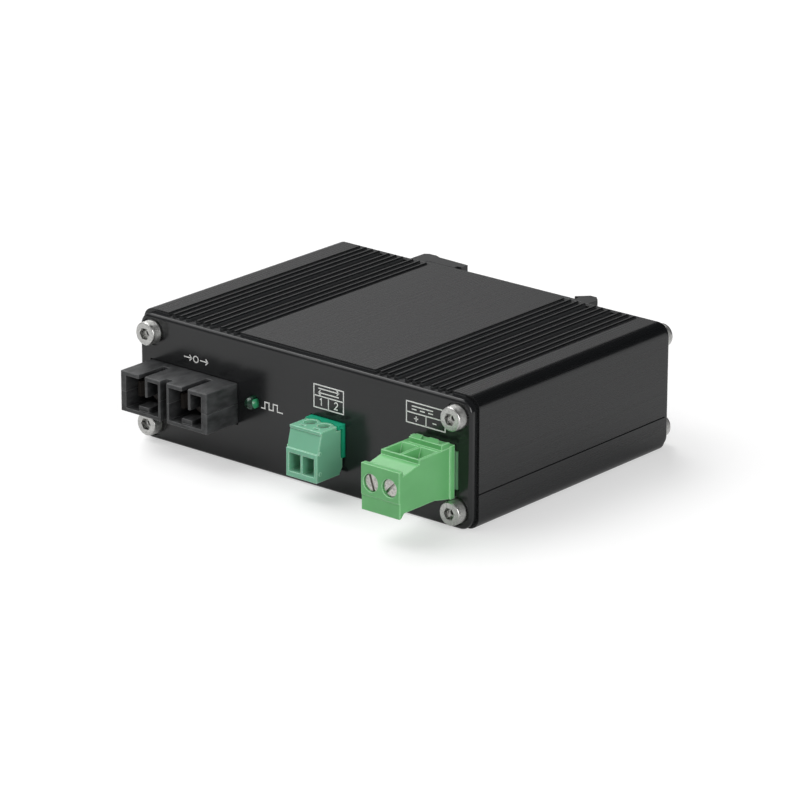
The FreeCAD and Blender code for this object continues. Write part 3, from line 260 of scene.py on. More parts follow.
def paint_edge_highlight(tree, colour, corner):
    """Paints a highlight near edges: mixes a colour towards the paler corner colour where the normal
    rounded over the edge radius leans away from the true one. As their dot product falls from 0.995
    to 0.84, the share of the paler colour rises from 0 to 1. Returns the mixed colour and the
    rounded normal."""
    rounded = add_node(tree, "ShaderNodeBevel", {"samples": 6}, {"Radius": edge_radius})
    true = add_node(tree, "ShaderNodeNewGeometry")
    lean = add_node(tree, "ShaderNodeVectorMath", {"operation": "DOT_PRODUCT"},
                    links={0: (rounded, "Normal"), 1: (true, "Normal")})
    share = add_node(tree, "ShaderNodeMapRange",
                     values={"From Min": 0.995, "From Max": 0.84, "To Min": 0.0, "To Max": 1.0},
                     links={"Value": (lean, "Value")})
    mixed = add_node(tree, "ShaderNodeMix", {"data_type": "RGBA"}, {7: linear(corner)},
                     {0: (share, "Result"), 6: colour})
    return (mixed, 2), (rounded, "Normal")


def moulded_plastic(name, dark, light, rough, corner=None, flow_per_mm=(0.16, 0.09, 0.16), depth=0.0,
                    tint=(1.0, 1.0, 1.0)):
    """Texture-moulded plastic between two shades. Where a corner colour is given, its edges get a
    painted highlight in that paler colour. The grain moves the roughness from 0.05 below rough to
    0.07 above it. A quarter of the light goes under the skin where depth is given: depth is how far,
    and tint the share of it for each colour."""
    material, tree = new_material(name)
    grain = object_pattern(tree, (3.6, 3.6, 3.6), {"Detail": 3.0})
    flow = object_pattern(tree, flow_per_mm, {"Detail": 2.0})
    shades = add_node(tree, "ShaderNodeValToRGB", links={"Fac": (flow, "Fac")},
                      stops=[(0.30, dark), (0.70, light)])
    colour, normal = (shades, "Color"), None
    # Painted highlight: near the edges the colour turns paler.
    if corner:
        colour, normal = paint_edge_highlight(tree, colour, corner)
    shader = add_node(tree, "ShaderNodeBsdfPrincipled",
                      values={"IOR": 1.53, "Subsurface Weight": 0.25 if depth else 0.0,
                              "Subsurface Scale": depth, "Subsurface Radius": tint},
                      links={"Base Color": colour,
                             **relief(tree, grain, (rough - 0.05, rough + 0.07), 0.16, 0.04 * mm, normal)})
    return complete(material, shader)


print("edges are shaded within", edge_radius / mm, "mm")

# %% [markdown]
# The receptacle's tone drifts over about a millimetre, as that of a melt filled with glass fibre
# does. In the green and the teal plastic a little light goes half a millimetre deep, green furthest.
# The headers are dyed a shade apart from the plugs that sit on them, as the photo shows.

# %% Plastics of the connectors and the clip
skin_depth = 0.5 * mm
green_tint = (0.4, 1.0, 0.4)
# The fifth colour of the receptacle, the green plug and the teal plug is the paler shade of their painted
# edge highlight.
receptacle_pbt = moulded_plastic("black_pbt_receptacle", "#1F2021", "#3E3F40", 0.50, "#5C5D5E",
                                 (0.9, 0.35, 0.9))
clip_polyamide = moulded_plastic("black_polyamide_clip", "#151617", "#1E1F20", 0.48)
holder_pei = moulded_plastic("dark_ferrule_holder", "#26221E", "#302B26", 0.40)
green_polyamide = moulded_plastic("green_polyamide_plug", "#63AC6B", "#6CB674", 0.40, "#BDEFC0",
                                  depth=skin_depth, tint=green_tint)
green_header = moulded_plastic("green_polyamide_header", "#6A9674", "#729E7C", 0.44,
                               depth=skin_depth, tint=green_tint)
teal_polyamide = moulded_plastic("teal_polyamide_plug", "#74B494", "#7CBC9C", 0.40, "#C6F2DA",
                                 depth=skin_depth, tint=(0.3, 1.0, 0.7))
teal_header = moulded_plastic("teal_polyamide_header", "#139B74", "#1CA57E", 0.40,
                              depth=skin_depth, tint=(0.2, 1.0, 0.6))

# %% [markdown]
# ## Plated metals
#
# The cap screws are bright zinc on steel, the terminals' screws and cages nickel, the leads and
# contacts tin. A plated skin is a true metal: full metallic, a pale colour, and roughness that
# tells the platings apart. A soft noise of half a millimetre breaks the reflections up, as handling
# does. Photographed wear would look richer close up, but at this size a noise tells the same. The
# flanks of a knurl are too steep to stay clean, so the knurled zinc is rougher.

# %% Metal materials


def plated_metal(name, dark, light, rough):
    """A metal between two shades. Where the wear is darker it is also rougher, by up to 0.10."""
    material, tree = new_material(name)
    wear = object_pattern(tree, (2.0, 2.0, 2.0), {"Detail": 4.0})
    colour = add_node(tree, "ShaderNodeValToRGB", links={"Fac": (wear, "Fac")},
                      stops=[(0.32, dark), (0.62, light)])
    shader = add_node(tree, "ShaderNodeBsdfPrincipled", values={"Metallic": 1.0},
                      links={"Base Color": (colour, "Color"),
                             **relief(tree, wear, (rough + 0.10, rough - 0.05), 0.08, 0.03 * mm)})
    return complete(material, shader)


zinc_steel = plated_metal("bright_zinc_steel", "#B0B0AE", "#CCCCC9", 0.27)
zinc_knurl = plated_metal("knurled_zinc_steel", "#C2C2C0", "#DADAD7", 0.42)
nickel_steel = plated_metal("nickel_plated_steel", "#A8A6A2", "#D6D4CF", 0.30)
tinned_copper = plated_metal("tinned_copper", "#B4B3AE", "#D0CFCA", 0.34)
spring_steel = plated_metal("spring_steel", "#8F8E8B", "#B5B4B0", 0.26)
bare_can = plated_metal("drawn_aluminium_can", "#BDBDBD", "#D5D5D5", 0.36)

# %% [markdown]
# ## The lamp's epoxy
#
# A lamp like this is cast in clear epoxy with a green tint. The tint darkens with thickness, and a
# little of the light scatters, so the lens looks deep green with a bright core where it gathers the
# light. Mostly transmission with a small diffuse share gives that without the noise of pure glass.

# %% Lamp materials


def tinted_epoxy():
    """Clear green plastic whose tint drifts over two millimetres."""
    material, tree = new_material("green_tinted_epoxy")
    casting = object_pattern(tree, (0.5, 0.5, 0.5), {"Detail": 1.0})
    colour = add_node(tree, "ShaderNodeValToRGB", links={"Fac": (casting, "Fac")},
                      stops=[(0.35, "#3A9A70"), (0.65, "#4AB084")])
    shader = add_node(tree, "ShaderNodeBsdfPrincipled",
                      values={"Roughness": 0.03, "IOR": 1.54, "Transmission Weight": 0.94},
                      links={"Base Color": (colour, "Color")})
    return complete(material, shader)


lamp_epoxy = tinted_epoxy()
# Painted light: the cup's pale, nearly white green stands in for the bright core where the lens gathers
# the light.
lamp_cup_painted_light = moulded_plastic("pale_green_lamp_cup", "#D2FBE2", "#E2FFEE", 0.35)

# %% [markdown]
# ## Printing ink
#
# The marks on the front panel are screen printed: a dense white ink, slightly raised and matt. The
# squeegee leaves its film a little uneven, so the white drifts by a shade over a few tenths of a
# millimetre.

# %% Ink material


def screen_ink():
    """Matt white between two shades."""
    material, tree = new_material("white_screen_ink")
    unevenness = object_pattern(tree, (3.0, 3.0, 3.0), {"Detail": 2.0})
    colour = add_node(tree, "ShaderNodeValToRGB", links={"Fac": (unevenness, "Fac")},
                      stops=[(0.30, "#D6D6D4"), (0.60, "#EEEEEC")])
    shader = add_node(tree, "ShaderNodeBsdfPrincipled", values={"Roughness": 0.6},
                      links={"Base Color": (colour, "Color")})
    return complete(material, shader)


white_ink = screen_ink()

# %% [markdown]
# ## What is on the circuit board
#
# The board is glass fibre under a green solder mask, and a brick pattern with rows of 1.27 mm hints
# at the copper tracks below. The parts on it are epoxy moulding compound, a dipped fuse and fired
# ceramic. Only slivers show, past the connectors, so these recipes stay short.

# %% Board materials


def solder_mask():
    """Two greens in a brick pattern, with paler joints about a quarter of a row wide."""
    material, tree = new_material("green_solder_mask")
    tracks = object_pattern(tree, (0.79, 0.79, 0.79),
                            {"Color1": linear("#0C3D24"), "Color2": linear("#10492B"),
                             "Mortar": linear("#17603A"), "Mortar Size": 0.12, "Brick Width": 3.0,
                             "Row Height": 1.0}, "ShaderNodeTexBrick")
    shader = add_node(tree, "ShaderNodeBsdfPrincipled", values={"Roughness": 0.32, "Coat Weight": 0.3},
                      links={"Base Color": (tracks, "Color")})
    return complete(material, shader)


board_mask = solder_mask()
moulding_compound = moulded_plastic("epoxy_moulding_compound", "#161617", "#1D1D1E", 0.60)
fuse_dip = moulded_plastic("yellow_fuse_dip", "#B98A12", "#C89A1C", 0.35)
fired_ceramic = moulded_plastic("tan_fired_ceramic", "#8A6A45", "#9C7A52", 0.50)

# %% [markdown]
# ## Handing out the finishes
#
# Every solid gets one finish. The CAD objects keep their meshes, and only their material slots
# change. A table from finish to solids is easier to check than a line per solid.

# %% Give each solid its finish
finishes = {
    extrusion: ["upper_shell", "lower_shell"],
    plate: ["front_panel", "rear_panel"],
    receptacle_pbt: ["transceiver_upper_housing", "transceiver_lower_housing", "led_holder"],
    holder_pei: ["ferrule_holders"],
    clip_polyamide: ["din_clip_base", "din_latch"],
    green_polyamide: ["power_plug_body"],
    green_header: ["power_header"],
    teal_polyamide: ["data_plug_body"],
    teal_header: ["data_header"],
    zinc_steel: ["front_panel_screws", "rear_panel_screws", "din_clip_screws"],
    nickel_steel: ["data_screw_1", "data_screw_2", "power_screw_1", "power_screw_2",
                   "data_clamp_1", "data_clamp_2", "power_clamp_1", "power_clamp_2"],
    tinned_copper: ["data_header_pins", "power_header_pins", "data_plug_contacts",
                    "power_plug_contacts", "led_leads", "transceiver_pins", "chip_legs"],
    spring_steel: ["din_spring"],
    bare_can: ["transceiver_optics", "electrolytic_capacitors", "quartz_crystal"],
    lamp_epoxy: ["led_lens"],
    board_mask: ["circuit_board", "transceiver_board"],
    moulding_compound: ["isolated_converter", "power_inductor", "voltage_regulator",
                        "interface_chips", "optocouplers", "controller_chip", "surge_diodes"],
    fuse_dip: ["resettable_fuse"],
    fired_ceramic: ["chip_resistors", "chip_capacitors"],
}
for finish, names in finishes.items():
    for name in names:
        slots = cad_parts[name].data.materials
        slots.clear()
        slots.append(finish)
dressed = sum(len(names) for names in finishes.values())
print("solids with a finish:", dressed, "of", len(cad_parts))

# %% [markdown]
# ## Surfaces from numbers
#
# A new piece is a grid of points computed as whole arrays. One helper joins neighbouring points to
# quads, with or without closing the grid round on itself, and another turns points and faces into
# an object that rides on a CAD body. This is faster than loops over vertices, and the shape stays
# visible as a formula.

# %% Grid helpers


def grid_quads(rows, columns, close_rows=False, close_columns=False):
    """Quads of a grid with points numbered row by row: (r, c), (r+1, c), (r+1, c+1), (r, c+1)."""
    r = np.arange(rows if close_rows else rows - 1)[:, None]
    c = np.arange(columns if close_columns else columns - 1)[None, :]
    next_r, next_c = (r + 1) % rows, (c + 1) % columns
    corners = [r * columns + c, next_r * columns + c, next_r * columns + next_c, r * columns + next_c]
    return np.stack([np.broadcast_to(k, (r.size, c.size)) for k in corners], -1).reshape(-1, 4)


def several(shapes):
    """Joins (points, quads) pairs into one pair, each shape's quads shifted past the points before."""
    starts = np.cumsum([0] + [len(points) for points, _ in shapes[:-1]])
    return (np.concatenate([points for points, _ in shapes]),
            np.concatenate([quads + start for (_, quads), start in zip(shapes, starts)]))


def add_piece(name, points, quads, material, body, slot=None, smooth=True):
    """Makes a mesh of points in metres and quads, and lets it ride on a body."""
    mesh = bpy.data.meshes.new(name)
    mesh.from_pydata(points.reshape(-1, 3).tolist(), [], quads.tolist())
    mesh.polygons.foreach_set("use_smooth", [smooth] * len(mesh.polygons))
    mesh.materials.append(material)
    mesh.validate()
    piece = bpy.data.objects.new(name, mesh)
    scene.collection.objects.link(piece)
    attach(piece, body)
    print(name, len(mesh.polygons), "faces")
    return piece


print("a grid of 3 by 4 points has", len(grid_quads(3, 4)), "quads, closed both ways",
      len(grid_quads(3, 4, True, True)))

# %% [markdown]
# ## Knurling on the cap screws
#
# The rim of a cap screw's head is rolled with a diamond knurl for the fingers, with a plain bright
# band left at the front. The solids have plain heads, because thousands of small facets are of no
# use in a CAD model. A bump map could draw the diamonds, but it would leave the outline smooth, so
# they are real here: a band whose radius follows two sets of slanted ridges.

# %% Where the screws are
screws_low, screws_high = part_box("front_panel_screws")
front_face = screws_low[1]
rear_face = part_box("rear_panel_screws")[1][1]
head_radius = 2.66 * mm
head_height = 3.0 * mm
screw_x = screws_high[0] - head_radius
screw_heights = (screws_low[2] + head_radius, screws_high[2] - head_radius)
axes = [(x, z) for x in (-screw_x, screw_x) for z in screw_heights]
front_heads = [(x, z, front_face, 1) for x, z in axes]
rear_heads = [(x, z, rear_face, -1) for x, z in axes]
print("screw axes at", [(round(x / mm, 2), round(z / mm, 2)) for x, z in axes])

# %% [markdown]
# The ridges stand 0.05 mm out of the head, 40 to the turn, and the two sets cross at right angles.
# A ridge needs about six points round the head to have a flank on both sides.

# %% Knurled bands
plain_band = 0.42 * mm
seat_margin = 0.45 * mm
band_length = head_height - plain_band - seat_margin
band_depth = 0.2 * mm
band_lift = 0.01 * mm
ridge_height = 0.04 * mm
teeth = 40
points_per_tooth = 6
rows = 15


def zigzag(turns):
    """A triangle wave: 1 in the middle of each turn, -1 at its ends."""
    return 1 - 4 * np.abs((turns - np.floor(turns)) - 0.5)


def knurled_band(x, z, face, inwards):
    """A ring round a head, whose face looks out along Y and whose shank goes inwards, 1 or -1. Its
    radius is the head's plus the lift, plus the ridge height times the larger of two zigzags, one
    wound left and one wound right, cut off below -0.2. Lift and ridges fade out over a ninth of the
    length at both ends. The grid closes round the ring and also inside the head, so the band is a
    closed skin."""
    around = np.linspace(0, 2 * np.pi, teeth * points_per_tooth, endpoint=False)[None, :]
    along = np.linspace(0, 1, rows)[:, None]
    tooth = teeth * around / (2 * np.pi)
    wound = teeth * band_length / (2 * np.pi * head_radius) * along
    ridges = np.maximum(zigzag(tooth + wound), zigzag(tooth - wound))
    fade = np.clip(np.minimum(along, 1 - along) * 9, 0, 1)
    outer = head_radius + (band_lift + ridge_height * np.clip(ridges, -0.2, 1)) * fade
    radius = np.concatenate([outer, np.full((2, around.size), head_radius - band_depth)])
    deep = plain_band + band_length * np.concatenate([along, [[1.0], [0.0]]])
    points = np.stack([x + radius * np.cos(around), np.broadcast_to(face + inwards * deep, radius.shape),
                       z + radius * np.sin(around)], -1)
    quads = grid_quads(len(radius), around.size, True, True)
    return points.reshape(-1, 3), quads if inwards > 0 else quads[:, ::-1]


front_bands = several([knurled_band(*head) for head in front_heads])
rear_bands = several([knurled_band(*head) for head in rear_heads])
add_piece("front_screw_knurling", *front_bands, zinc_knurl, "case", "screw_steel", False)
add_piece("rear_screw_knurling", *rear_bands, zinc_knurl, "case", "screw_steel", False)

# %% [markdown]
# ## Marks on the front panel
#
# The panel is printed beside each connector. The marks here are plain ones that any such box could
# carry: arrows over the fibre ports, a pulse beside the lamp, numbers for the data terminal, and
# the signs for direct current and polarity over the supply. Each is a path, and a ribbon 0.02 mm
# thick follows it. Text objects would be quicker for the numbers, but the frames and signs need a
# ribbon anyway, and one way of drawing gives all the marks the same line.

# %% Ribbons of ink
panel_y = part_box("front_panel")[0][1]
film = 0.02 * mm
stroke_width = 0.26


def normals(start, end):
    """The directions square to the steps from start to end, each of length one."""
    step = (end - start) / np.linalg.norm(end - start, axis=1, keepdims=True)
    return np.stack([-step[:, 1], step[:, 0]], -1)


def ribbon(path, closed=False):
    """A flat ribbon along a path of (x, z) points in millimetres. Each point is shifted sideways by
    half the stroke's width times the mitre: the mean of the two neighbouring normals, divided by
    the square of its length."""
    path = np.array(path, float)
    before, after = np.roll(path, 1, 0), np.roll(path, -1, 0)
    if not closed:
        before[0], after[-1] = 2 * path[0] - path[1], 2 * path[-1] - path[-2]
    mean = (normals(before, path) + normals(path, after)) / 2
    mitre = mean / np.maximum((mean * mean).sum(1, keepdims=True), 0.2)
    left, right = path + mitre * stroke_width / 2, path - mitre * stroke_width / 2
    section = np.stack([left, left, right, right], 1)
    y = np.broadcast_to(np.array([panel_y - film, panel_y, panel_y, panel_y - film]), section.shape[:2])
    points = np.stack([section[..., 0] * mm, y, section[..., 1] * mm], -1).reshape(-1, 3)
    quads = grid_quads(len(path), 4, closed, True)
    if not closed:
        last = 4 * (len(path) - 1)
        quads = np.concatenate([quads, [[0, 1, 2, 3], [last + 3, last + 2, last + 1, last]]])
    return points, quads


print("panel's face at y", round(panel_y / mm, 2), "mm, strokes", stroke_width, "mm wide")

# %% [markdown]
# Three small shapes make up the marks: signs and numerals, arrows, and frames with a line across
# the middle and one down the lower half.

# %% Signs, arrows and frames
signs = {
    "1": [[(-0.35, 0.45), (0.05, 0.8), (0.05, -0.8)]],
    "2": [[(-0.45, 0.45), (-0.3, 0.7), (0.0, 0.8), (0.3, 0.7), (0.45, 0.42), (0.35, 0.1), (-0.45, -0.8),
           (0.5, -0.8)]],
    "+": [[(-0.55, 0), (0.55, 0)], [(0, 0.55), (0, -0.55)]],
    "-": [[(-0.55, 0), (0.55, 0)]],
}


def sign(symbol, x, z):
    """A numeral or sign, each of its strokes shifted to be centred on a point."""
    return [ribbon([(x + px, z + pz) for px, pz in stroke]) for stroke in signs[symbol]]


def arrow(tail, tip, z, barb=0.55):
    """A shaft from tail to tip, and a head whose two arms lean back at 45 degrees."""
    back = math.copysign(barb, tail - tip)
    return [ribbon([(tail, z), (tip, z)]),
            ribbon([(tip + back, z + barb), (tip, z), (tip + back, z - barb)])]


def divided_frame(left, right, low, high, across, down):
    """A rectangle with a line across it and one down from that line to its foot."""
    return [ribbon([(left, low), (right, low), (right, high), (left, high)], True),
            ribbon([(left, across), (right, across)]),
            ribbon([(down, low), (down, across)])]


print("signs:", " ".join(signs))

# %% [markdown]
# Each connector's marks are placed from the middle of the connector, so that they would move along
# with it. The numbers are millimetres: those added to x count from that middle, and the others are
# heights over the floor. The right end of the supply's frame comes close under the screw's head,
# because there is little room left for it.

# %% Print the panel


def middle(node):
    """The middle of a solid's box along X and along Z, in millimetres."""
    low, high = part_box(node)
    return (low[0] + high[0]) / 2 / mm, (low[2] + high[2]) / 2 / mm


def data_marks(x):
    """A frame with arrows both ways over the numbers of the two wires."""
    return (divided_frame(x - 3.95, x + 4.38, 18.34, 23.5, 21.05, x + 0.15)
            + sign("1", x - 1.9, 19.75) + sign("2", x + 2.3, 19.75)
            + arrow(x - 2.65, x + 3.05, 22.75) + arrow(x + 3.05, x - 2.65, 21.8))


def supply_marks(x):
    """A frame with the sign for direct current, a line over three dashes, and the polarity."""
    dashes = [ribbon([(x + start, 24.0), (x + start + 1.3, 24.0)]) for start in (-6.4, -4.15, -1.9)]
    return (divided_frame(x - 7.86, x + 2.7, 20.86, 25.55, 23.2, x - 2.5)
            + sign("+", x - 5.2, 22.0) + sign("-", x - 0.2, 22.0)
            + [ribbon([(x - 6.4, 24.7), (x - 0.6, 24.7)])] + dashes)


def port_marks(x):
    """Light into a fibre and out of it: an arrow, a ring, an arrow. The ring has 20 points."""
    height, radius, barb = 21.4, 0.7, 0.65
    angle = np.linspace(0, 2 * np.pi, 20, endpoint=False)
    ring = np.stack([x + 0.67 + radius * np.cos(angle), height + radius * np.sin(angle)], -1)
    return (arrow(x - 2.85, x - 0.55, height, barb) + arrow(x + 1.9, x + 4.2, height, barb)
            + [ribbon(ring, True)])


def lamp_marks(x, z):
    """A pulse train: two square steps up and down again."""
    low, high = z - 0.7, z + 0.8
    steps = [(2.2, low), (3.3, low), (3.3, high), (4.5, high), (4.5, low), (5.7, low), (5.7, high),
             (6.9, high), (6.9, low), (8.45, low)]
    return [ribbon([(x + right, height) for right, height in steps])]


marks = (data_marks(middle("data_plug_body")[0]) + supply_marks(middle("power_plug_body")[0])
         + port_marks(middle("transceiver_upper_housing")[0]) + lamp_marks(*middle("led_lens")))
add_piece("front_panel_print", *several(marks), white_ink, "case", None, False)

# %% [markdown]
# ## Inside the lamp
#
# Through the lens shows the end of the lead frame: a small cup that holds the crystal. Its pale,
# nearly white green is painted light: it stands in for the bright core where the lens gathers the
# light. It is a turned shape, so a profile carried round an axis makes it. The cup sits a little
# beside the lens's axis, as the frame's other lead takes its share of the room.

# %% Lamp cup


def turned(profile, x, z, steps=32):
    """A closed profile of (radius, y) points in millimetres carried round the line through x, z."""
    profile = np.array(profile, float) * mm
    angle = np.linspace(0, 2 * np.pi, steps, endpoint=False)[None, :]
    radius, y = profile[:, 0][:, None], profile[:, 1][:, None]
    points = np.stack([x + radius * np.cos(angle), y + 0 * angle, z + radius * np.sin(angle)], -1)
    return points.reshape(-1, 3), grid_quads(len(profile), steps, True, True)


lamp_x, lamp_z = middle("led_lens")
cup_profile = [(0.02, -33.9), (0.30, -33.9), (0.52, -34.6), (0.62, -34.6), (0.60, -34.0), (0.35, -29.4),
               (0.02, -29.4)]
cup = turned(cup_profile, (lamp_x + 0.25) * mm, (lamp_z - 0.2) * mm)
add_piece("lamp_cup", *cup, lamp_cup_painted_light, "case", "contact_tin")

# %% [markdown]
# ## Bottoms of the hexagon sockets
#
# A socket is drilled before its six sides are broached, so it ends in the drill's cone, which is
# what sends a spark of light back out of it. The solids have flat bottoms, and a bump map would
# tilt the light but leave the floor of the socket where it is. A ring with a sloping inside, turned
# like the lamp's cup, makes each one conical.

# %% Socket cones
socket_depth = 1.5
cone_radius = 1.22
cone_height = 0.65


def socket_cone(x, z, face, inwards):
    """A ring on the socket's floor whose inside rises from the middle to the walls at 28 degrees."""
    ground = face / mm + inwards * socket_depth
    points, quads = turned([(0.02, ground), (cone_radius, ground - inwards * cone_height),
                            (cone_radius, ground)], x, z)
    return points, quads if inwards > 0 else quads[:, ::-1]


cones = [socket_cone(*head) for head in front_heads + rear_heads]
add_piece("socket_cones", *several(cones), zinc_steel, "case", "screw_steel")

# %% [markdown]
# ## The rail clip's spring
#
# A coil of 0.4 mm spring wire pushes the clip's sliding hook home. A solid coil can't shorten, so
# with the hook pulled out it would stick through it. The solid is hidden and a coil of wire is built
# in its place; nothing here shortens it. The wire is a circle carried along a helix: the circle stands
# in the plane of the helix's axis and radius, which is near enough to square to the wire for a pitch
# this small.

# %% Coil spring
spring_low, spring_high = (np.array(corner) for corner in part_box("din_spring"))
wire_radius = 0.2 * mm
turns = 8
rings_per_turn = 28


def coil(low, high):
    """Rings of eight points round a helix that fills a box along X: x grows evenly with the turn, y
    and z are the radius times the turn's cosine and sine, and the angle round the wire adds its sine
    to x and its cosine to the radius. Three quads close each end."""
    turn = np.linspace(0, 2 * np.pi * turns, rings_per_turn * turns + 1)[:, None]
    around = np.linspace(0, 2 * np.pi, 8, endpoint=False)[None, :]
    centre = (low + high) / 2
    radius = (high[2] - low[2]) / 2 - wire_radius + wire_radius * np.cos(around)
    x = (low[0] + wire_radius + (high[0] - low[0] - 2 * wire_radius) * turn / turn[-1]
         + wire_radius * np.sin(around))
    points = np.stack([x, centre[1] + radius * np.cos(turn), centre[2] + radius * np.sin(turn)], -1)
    cap = np.array([(0, 1, 2, 3), (0, 3, 4, 7), (7, 4, 5, 6)])
    last = 8 * (len(turn) - 1)
    quads = np.concatenate([grid_quads(len(turn), 8, False, True), cap, cap[:, ::-1] + last])
    return points.reshape(-1, 3), quads


clip_spring = add_piece("rail_clip_spring", *coil(spring_low, spring_high), spring_steel, "case")
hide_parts("din_spring")
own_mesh(clip_spring)

# %% [markdown]
# ## Floor
#
# The object lies on a white paper sweep. White paper lit up to full white would do, but the light it
# takes would wash out the shadow and the black box. Paper that scatters just over half of the light
# keeps a soft shadow, and what it lacks to white is added as a glow for the rays that look at it.
# The camera sees a stronger glow, which grows with the distance until the sweep is as white as the
# backdrop. Rays that come off gloss or go through the lamp's lens see a weaker one, and diffuse rays
# see none at all, so the glow itself lights nothing up.

# %% Floor
glow_in_gloss = 0.20
glow_near, glow_far = 0.47, 1.0
near, far = 0.35, 1.0


def white_sweep():
    """Diffuse paper plus a glow. Its strength is the gloss glow for a glossy or transmitted ray, and
    for a camera ray the near glow up to the near distance, rising to the far one at the far distance."""
    material, tree = new_material("white_paper_sweep")
    path = add_node(tree, "ShaderNodeLightPath")
    glossy = add_node(tree, "ShaderNodeMath", {"operation": "MAXIMUM"},
                      links={0: (path, "Is Glossy Ray"), 1: (path, "Is Transmission Ray")})
    seen_in_gloss = add_node(tree, "ShaderNodeMath", {"operation": "MULTIPLY"}, {1: glow_in_gloss},
                             {0: (glossy, "Value")})
    place = add_node(tree, "ShaderNodeTexCoord")
    distance = add_node(tree, "ShaderNodeVectorMath", {"operation": "LENGTH"},
                        links={0: (place, "Object")})
    seen = add_node(tree, "ShaderNodeMapRange",
                    values={"From Min": near, "From Max": far, "To Min": glow_near, "To Max": glow_far},
                    links={"Value": (distance, "Value")})
    strength = add_node(tree, "ShaderNodeMath", {"operation": "MULTIPLY_ADD"},
                        links={0: (path, "Is Camera Ray"), 1: (seen, "Result"),
                               2: (seen_in_gloss, "Value")})
    paper = add_node(tree, "ShaderNodeBsdfDiffuse", values={"Color": linear("#C4C4C4")})
    glow = add_node(tree, "ShaderNodeEmission", values={"Color": linear("#FFFFFF")},
                    links={"Strength": (strength, "Value")})
    return complete(material, add_node(tree, "ShaderNodeAddShader", links={0: (paper, 0), 1: (glow, 0)}))


floor_points = np.array([(-3, -3, 0), (3, -3, 0), (3, 5, 0), (-3, 5, 0)], float)
floor_mesh = bpy.data.meshes.new("floor")
floor_mesh.from_pydata(floor_points.tolist(), [], [(0, 1, 2, 3)])
floor_mesh.materials.append(white_sweep())
floor = bpy.data.objects.new("floor", floor_mesh)
scene.collection.objects.link(floor)

# %% [markdown]
# ## Light
#
# Three softboxes stand round the object: a large one up on the left, which throws the soft shadow
# under the right side, a low one on the right for the dark side, and a small one high up behind on
# the left, which the slopes of the two plugs mirror. Point lamps would be simpler, but they leave
# hard shadows and mere dots on the gloss, where a lamp with a size leaves a soft sheen. The power
# follows from the light wanted on the floor: an area lamp of P watts at a distance d gives
# P / (pi d2) there, and a white surface looks white at pi.

# %% Lamps


def place_in_scene(thing, right, up, back, position):
    """Turns an object so that its X, Y and Z axes are right, up and back, and puts it in place."""
    matrix = np.eye(4)
    matrix[:3] = np.stack([right, up, back, position], 1)
    thing.matrix_world = Matrix(matrix.tolist())
    scene.collection.objects.link(thing)


def softbox(name, position, size, power, aim=(0, 0, 0.012)):
    """A square area lamp whose -Z axis points at the aim. Its share of white on the floor is
    power times the cosine at the floor, divided by the square of pi and by that of the distance."""
    lamp = bpy.data.lights.new(name, "AREA")
    lamp.size = size
    lamp.energy = power
    back = np.array(position, float) - np.array(aim, float)
    distance = np.linalg.norm(back)
    back /= distance
    right = np.cross([0, 0, 1], back)
    right /= np.linalg.norm(right)
    place_in_scene(bpy.data.objects.new(name, lamp), right, np.cross(back, right), back, position)
    print(name, "lights the floor with", round(power * back[2] / (math.pi * distance) ** 2, 2), "of white")


softbox("left_softbox", (-0.52, -0.28, 0.95), 1.0, 8.8)
softbox("right_softbox", (1.05, -0.30, 0.43), 0.7, 7.5)
softbox("top_softbox", (-0.56, 0.37, 0.81), 0.5, 3.0)

# %% [markdown]
# ## Room
#
# The room gives the rest of the light, evenly. Black goods are lit with a dark board behind them, so
# that their rounded edges stay black: here the room fades to dark towards one direction, up and back
# on the right, where the cosine of the angle to it goes from 0.50 to 0.68. A panorama of a studio
# could do the same, but one fade is all that the gloss of this box shows. The camera itself sees a
# white backdrop instead.

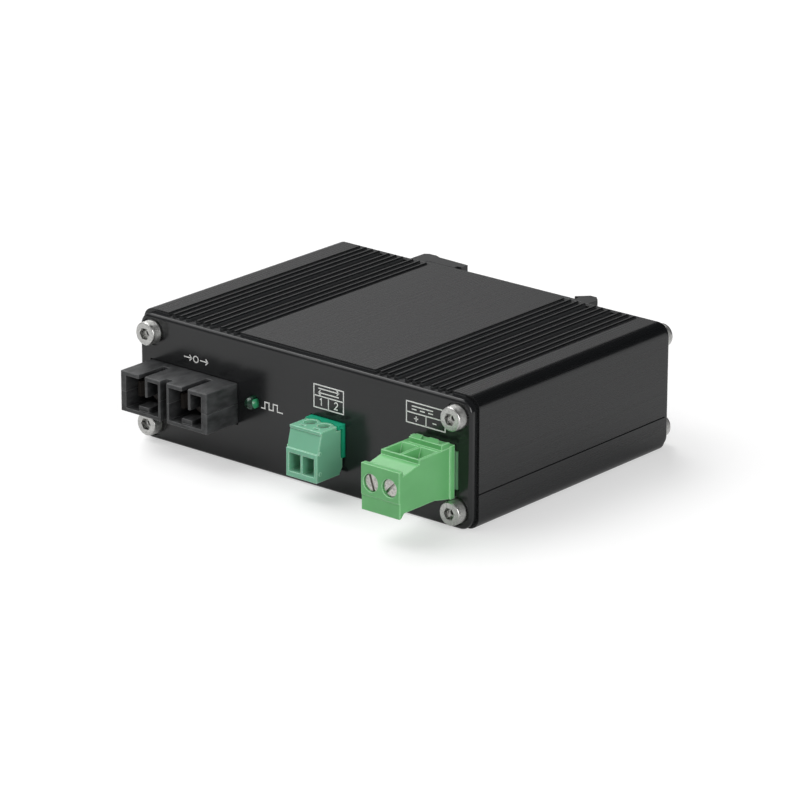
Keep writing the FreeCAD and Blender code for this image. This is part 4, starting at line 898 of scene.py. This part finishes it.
# %% Room
board = np.array([0.35, 0.75, 0.55])
room_light = 0.42
fade_from, fade_to = 0.50, 0.68
world = bpy.data.worlds.new("studio")
scene.world = world
world.use_nodes = True
studio = world.node_tree
studio.nodes.clear()
path = add_node(studio, "ShaderNodeLightPath")
direction = add_node(studio, "ShaderNodeTexCoord")
towards_board = add_node(studio, "ShaderNodeVectorMath", {"operation": "DOT_PRODUCT"},
                         {1: board / np.linalg.norm(board)}, {0: (direction, "Generated")})
strength = add_node(studio, "ShaderNodeMapRange", {"interpolation_type": "SMOOTHSTEP"},
                    {"From Min": fade_from, "From Max": fade_to, "To Min": room_light, "To Max": 0.0},
                    {"Value": (towards_board, "Value")})
room = add_node(studio, "ShaderNodeBackground", values={"Color": linear("#FFFFFF")},
                links={"Strength": (strength, "Result")})
backdrop = add_node(studio, "ShaderNodeBackground", values={"Color": linear("#FFFFFF"), "Strength": 1.0})
either = add_node(studio, "ShaderNodeMixShader",
                  links={"Fac": (path, "Is Camera Ray"), 1: (room, 0), 2: (backdrop, 0)})
add_node(studio, "ShaderNodeOutputWorld", links={"Surface": (either, 0)})
print("room", room_light, "of white, dark within",
      round(math.degrees(math.acos(fade_to))), "degrees of the board's direction")

# %% [markdown]
# ## Camera
#
# The camera stands 0.97 m away, 40 degrees round to the right and 19 degrees up, with a long lens:
# the angle of the product shot, fitted to the outline of the case. A sixth of a degree of roll comes
# from that fit too.

# %% Camera
azimuth, elevation, roll = np.radians([40.008, 19.247, 0.167])
aim = np.array([27.848, -34.519, 25.274]) * mm
camera_distance = 0.970602
focal_length = 207.396
back = np.array([np.sin(azimuth) * np.cos(elevation), -np.cos(azimuth) * np.cos(elevation),
                 np.sin(elevation)])
level = np.array([np.cos(azimuth), np.sin(azimuth), 0.0])
upright = np.cross(back, level)
right = np.cos(roll) * level + np.sin(roll) * upright
up = np.cos(roll) * upright - np.sin(roll) * level
camera_data = bpy.data.cameras.new("camera")
camera_data.sensor_width = 36.0
camera_data.lens = focal_length
camera_data.clip_end = 20.0
camera = bpy.data.objects.new("camera", camera_data)
place_in_scene(camera, right, up, back, aim + back * camera_distance)
scene.camera = camera
scene.view_settings.view_transform = "Standard"
print("the frame is", round(camera_distance * camera_data.sensor_width / focal_length / mm), "mm wide")
